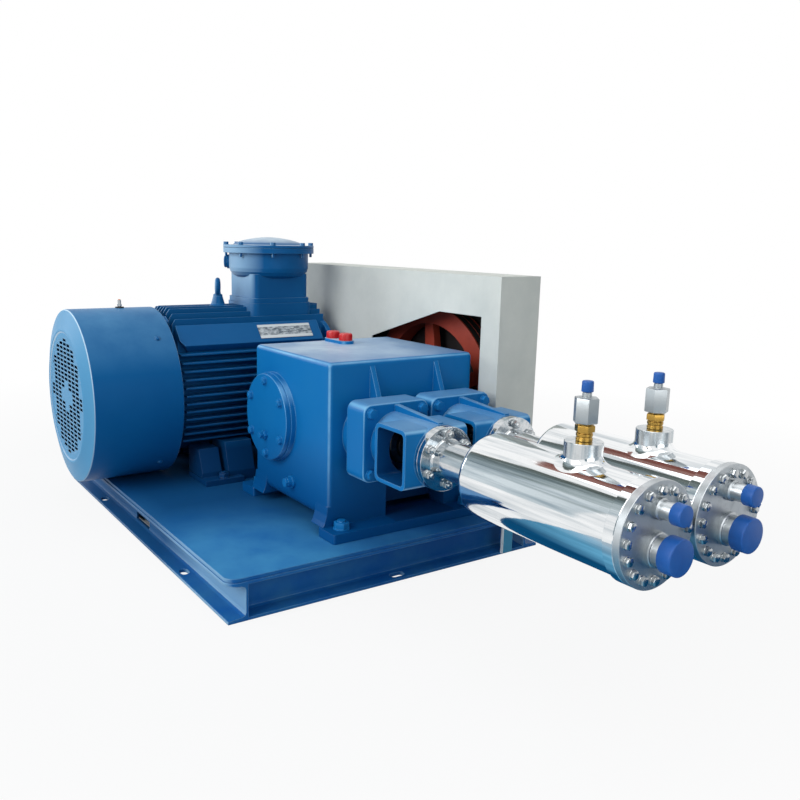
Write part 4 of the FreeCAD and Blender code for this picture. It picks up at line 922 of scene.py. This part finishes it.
# Only mirrors see these. Each has three shades, a place, a size, the way it looks, the rise of its shades
# in x, y and z with their start, and how far the shades sway
CARDS = {
    # The shop floor
    "floor_card": (
        ("#0c4d78", "#6ab0d4", "#b4c8d6"), (1.49, 0.05, 0.004), (1.62, 1.7), (0, 0, 1), (1.2, -2.1, 0.0, -1.156), 0.12
    ),
    # The grey wall
    "wall_card": (
        ("#d3dde2", "#97a5a8", "#5d6662"), (-3.9, -2.4, 4.1), (6.2, 7.9), (0, 1, 0), (0.0, 0.0, 0.208, -0.207), 0.34
    ),
    # The roof beam
    "beam_card": (
        ("#7a4a42", "#9a726a", "#a39e96"), (-0.22, 0.2, 2.2), (0.60, 1.15), (0.01, 0, -1), (0.0, -0.5, 0.0, 0.3), 0.3
    ),
    # The bright end of the shop
    "end_card": (
        ("#c9d0d5", "#aab4bb", "#8b969e"), (2.35, 0.9, 0.28), (1.0, 2.6), (-1, 0, 0), (0.0, 0.0, 0.0, 0.5), 0.4
    ),
    # The dark side of the hall
    "hall_card": (
        ("#45606a", "#7f939a", "#c3cfd4"), (3.1, -1.55, 0.7), (0.5, 2.2), (-0.83, 0.55, 0), (0.0, 0.0, 0.0, 0.35), 0.45
    ),
}
# The photo's camera: its place in millimetres, its three turns in degrees, and its lens in pixels
CAMERA_AT = (1908.7, -1000.2, 728.3)
CAMERA_TURNS = (56.2, 10.9, 1.1)
FRAME_PX, FOCAL_PX, CENTRE_PX = 800.0, 817.1, (366.4, 396.5)
SENSOR_MM = 36.0


def seen_ray(tree):
    """One where the camera, a reflection or a ray through glass looks, nought for plain light."""
    path = add(tree, "ShaderNodeLightPath").outputs
    return largest(tree, [path["Is " + kind + " Ray"] for kind in ("Camera", "Glossy", "Transmission")])


class PUMP_OT_stage(bpy.types.Operator):
    """Pale floor, soft lamps and the camera"""

    bl_idname = "pump.stage"
    bl_label = "Stage"

    def execute(self, context):
        size = context.scene.pump_stage
        self.floor(size.floor)
        for name, given in CARDS.items():
            self.card(name, *given)
        world = bpy.data.worlds.new("studio")
        context.scene.world = world
        world.use_nodes = True
        tree = world.node_tree
        tree.nodes.clear()
        white = linear("#ffffff")
        even, seen = (add(tree, "ShaderNodeBackground", {"Color": white, "Strength": s}) for s in (size.world, 1.0))
        both = add(tree, "ShaderNodeMixShader", {0: seen_ray(tree), 1: even.outputs[0], 2: seen.outputs[0]})
        add(tree, "ShaderNodeOutputWorld", {"Surface": both.outputs[0]})
        self.lamp("key_lamp", (0.6, -3.6, 2.2), (0.1, 0.0, 0.25), 2.6, size.key)
        self.lamp("fill_lamp", (3.8, -0.4, 1.6), (0.2, 0.0, 0.3), 2.2, size.fill)
        self.lamp("side_lamp", (-3.4, -2.6, 1.5), (-0.3, -0.2, 0.3), 1.8, size.side)
        self.lamp("top_lamp", (0.0, 0.2, 3.6), (0.2, 0.0, 0.3), 3.0, size.top)
        self.camera(context)
        context.scene.view_settings.view_transform = "Standard"
        return {"FINISHED"}

    def floor(self, side):
        """Seamless paper: near the machine it takes shadows, farther off it is plain white."""
        material, tree, place = new_finish("studio_floor")
        away = vectors(tree, "LENGTH", place)
        white = ranged(tree, away, 1.0, 2.4, 0.9, 1.0)
        # Under the skid the paper is plain, so a look through its slots meets shadow
        under = vectors(tree, "SUBTRACT", vectors(tree, "ABSOLUTE", place), (0.515, 0.362, 0.0))
        under = axes(tree, under)
        under = ranged(tree, maths(tree, "MAXIMUM", under[0], under[1]), -0.01, 0.0)
        share = product(tree, product(tree, white, under), seen_ray(tree))
        paper = add(tree, "ShaderNodeBsdfDiffuse", {"Color": linear("#c0c6cb")}).outputs[0]
        glow = add(tree, "ShaderNodeEmission", {"Color": linear("#ffffff"), "Strength": 1.0}).outputs[0]
        close(tree, add(tree, "ShaderNodeMixShader", {0: share, 1: paper, 2: glow}))
        bm = bmesh.new()
        bmesh.ops.create_grid(bm, x_segments=2, y_segments=2, size=side / 2)
        placed("studio_floor", bm, material)

    def card(self, name, shades, place, size, aim, slope, swing):
        """A card that only polished surfaces mirror."""
        material, tree, spot = new_finish(name)
        *rise, start = slope
        drawn = add(tree, "ShaderNodeMapping", {"Scale": (0.35, 2.0, 2.4), "Vector": spot}).outputs[0]
        sway = ranged(tree, noise(tree, drawn, 1.6, 4.0), 0.3, 0.7, start - swing, start + swing)
        level = maths(tree, "ADD", vectors(tree, "DOT_PRODUCT", spot, rise), sway)
        tone = blend(tree, ranged(tree, level, 0.0, 0.5), shades[0], shades[1])
        tone = blend(tree, ranged(tree, level, 0.5, 1.0), tone, shades[2])
        close(tree, add(tree, "ShaderNodeEmission", {"Strength": 1.0, "Color": tone}))
        bm = bmesh.new()
        bmesh.ops.create_grid(bm, x_segments=1, y_segments=1, size=0.5)
        bmesh.ops.scale(bm, vec=(size[0], size[1], 1.0), verts=bm.verts)
        turn = Vector(aim).to_track_quat("Z", "Y").to_matrix().to_4x4()
        bmesh.ops.transform(bm, matrix=Matrix.Translation(place) @ turn, verts=bm.verts)
        made = placed(name, bm, material)
        for ray in ("camera", "diffuse", "transmission", "shadow"):
            setattr(made, "visible_" + ray, False)

    def lamp(self, name, place, target, size, power):
        """A square soft lamp that looks at its target."""
        light = bpy.data.lights.new(name, "AREA")
        light.shape = "SQUARE"
        light.size = size
        light.energy = power
        made = bpy.data.objects.new(name, light)
        made.location = place
        made.rotation_euler = (Vector(target) - Vector(place)).to_track_quat("-Z", "Y").to_euler()
        made.visible_camera = False
        bpy.context.scene.collection.objects.link(made)

    def camera(self, context):
        """The photo's view: azimuth, elevation and a slight roll, with the picture's middle moved."""
        azimuth, elevation, roll = (math.radians(a) for a in CAMERA_TURNS)
        level = math.cos(elevation)
        back = Vector((math.sin(azimuth) * level, -math.cos(azimuth) * level, math.sin(elevation)))
        right = Vector((math.cos(azimuth), math.sin(azimuth), 0.0))
        up = back.cross(right)
        across = math.cos(roll) * right + math.sin(roll) * up
        above = -math.sin(roll) * right + math.cos(roll) * up
        lens = bpy.data.cameras.new("photo_camera")
        lens.sensor_width = SENSOR_MM
        lens.lens = SENSOR_MM * FOCAL_PX / FRAME_PX
        lens.shift_x = (FRAME_PX / 2 - CENTRE_PX[0]) / FRAME_PX
        lens.shift_y = (CENTRE_PX[1] - FRAME_PX / 2) / FRAME_PX
        lens.clip_end = 50.0
        camera = bpy.data.objects.new("photo_camera", lens)
        turn = Matrix((across, above, back)).transposed().to_4x4()
        camera.matrix_world = Matrix.Translation(at(*CAMERA_AT)) @ turn
        context.scene.collection.objects.link(camera)
        context.scene.camera = camera


class PUMP_PT_panel(bpy.types.Panel):
    """Lists the steps and the settings"""

    bl_idname = "PUMP_PT_panel"
    bl_label = "Reciprocating pump"
    bl_space_type = "VIEW_3D"
    bl_region_type = "UI"
    bl_category = "Pump"

    def draw(self, context):
        for group in (context.scene.pump_colours, context.scene.pump_stage):
            for name in group.__annotations__:
                self.layout.prop(group, name)
        for step in STEPS:
            self.layout.operator(step.bl_idname)


STEPS = (PUMP_OT_finishes, PUMP_OT_fan_cover, PUMP_OT_motor_trim, PUMP_OT_pump_trim, PUMP_OT_cold_ends, PUMP_OT_stage)
GROUPS = (PumpColours, PumpStage)


def register():
    for cls in GROUPS + STEPS + (PUMP_PT_panel,):
        bpy.utils.register_class(cls)
    bpy.types.Scene.pump_colours = bpy.props.PointerProperty(type=PumpColours)
    bpy.types.Scene.pump_stage = bpy.props.PointerProperty(type=PumpStage)


def unregister():
    del bpy.types.Scene.pump_stage
    del bpy.types.Scene.pump_colours
    for cls in reversed(GROUPS + STEPS + (PUMP_PT_panel,)):
        bpy.utils.unregister_class(cls)


def main():
    register()
    bpy.ops.pump.finishes()
    bpy.ops.pump.fan_cover()
    bpy.ops.pump.motor_trim()
    bpy.ops.pump.pump_trim()
    bpy.ops.pump.cold_ends()
    bpy.ops.pump.stage()


if __name__ == "__main__":
    main()
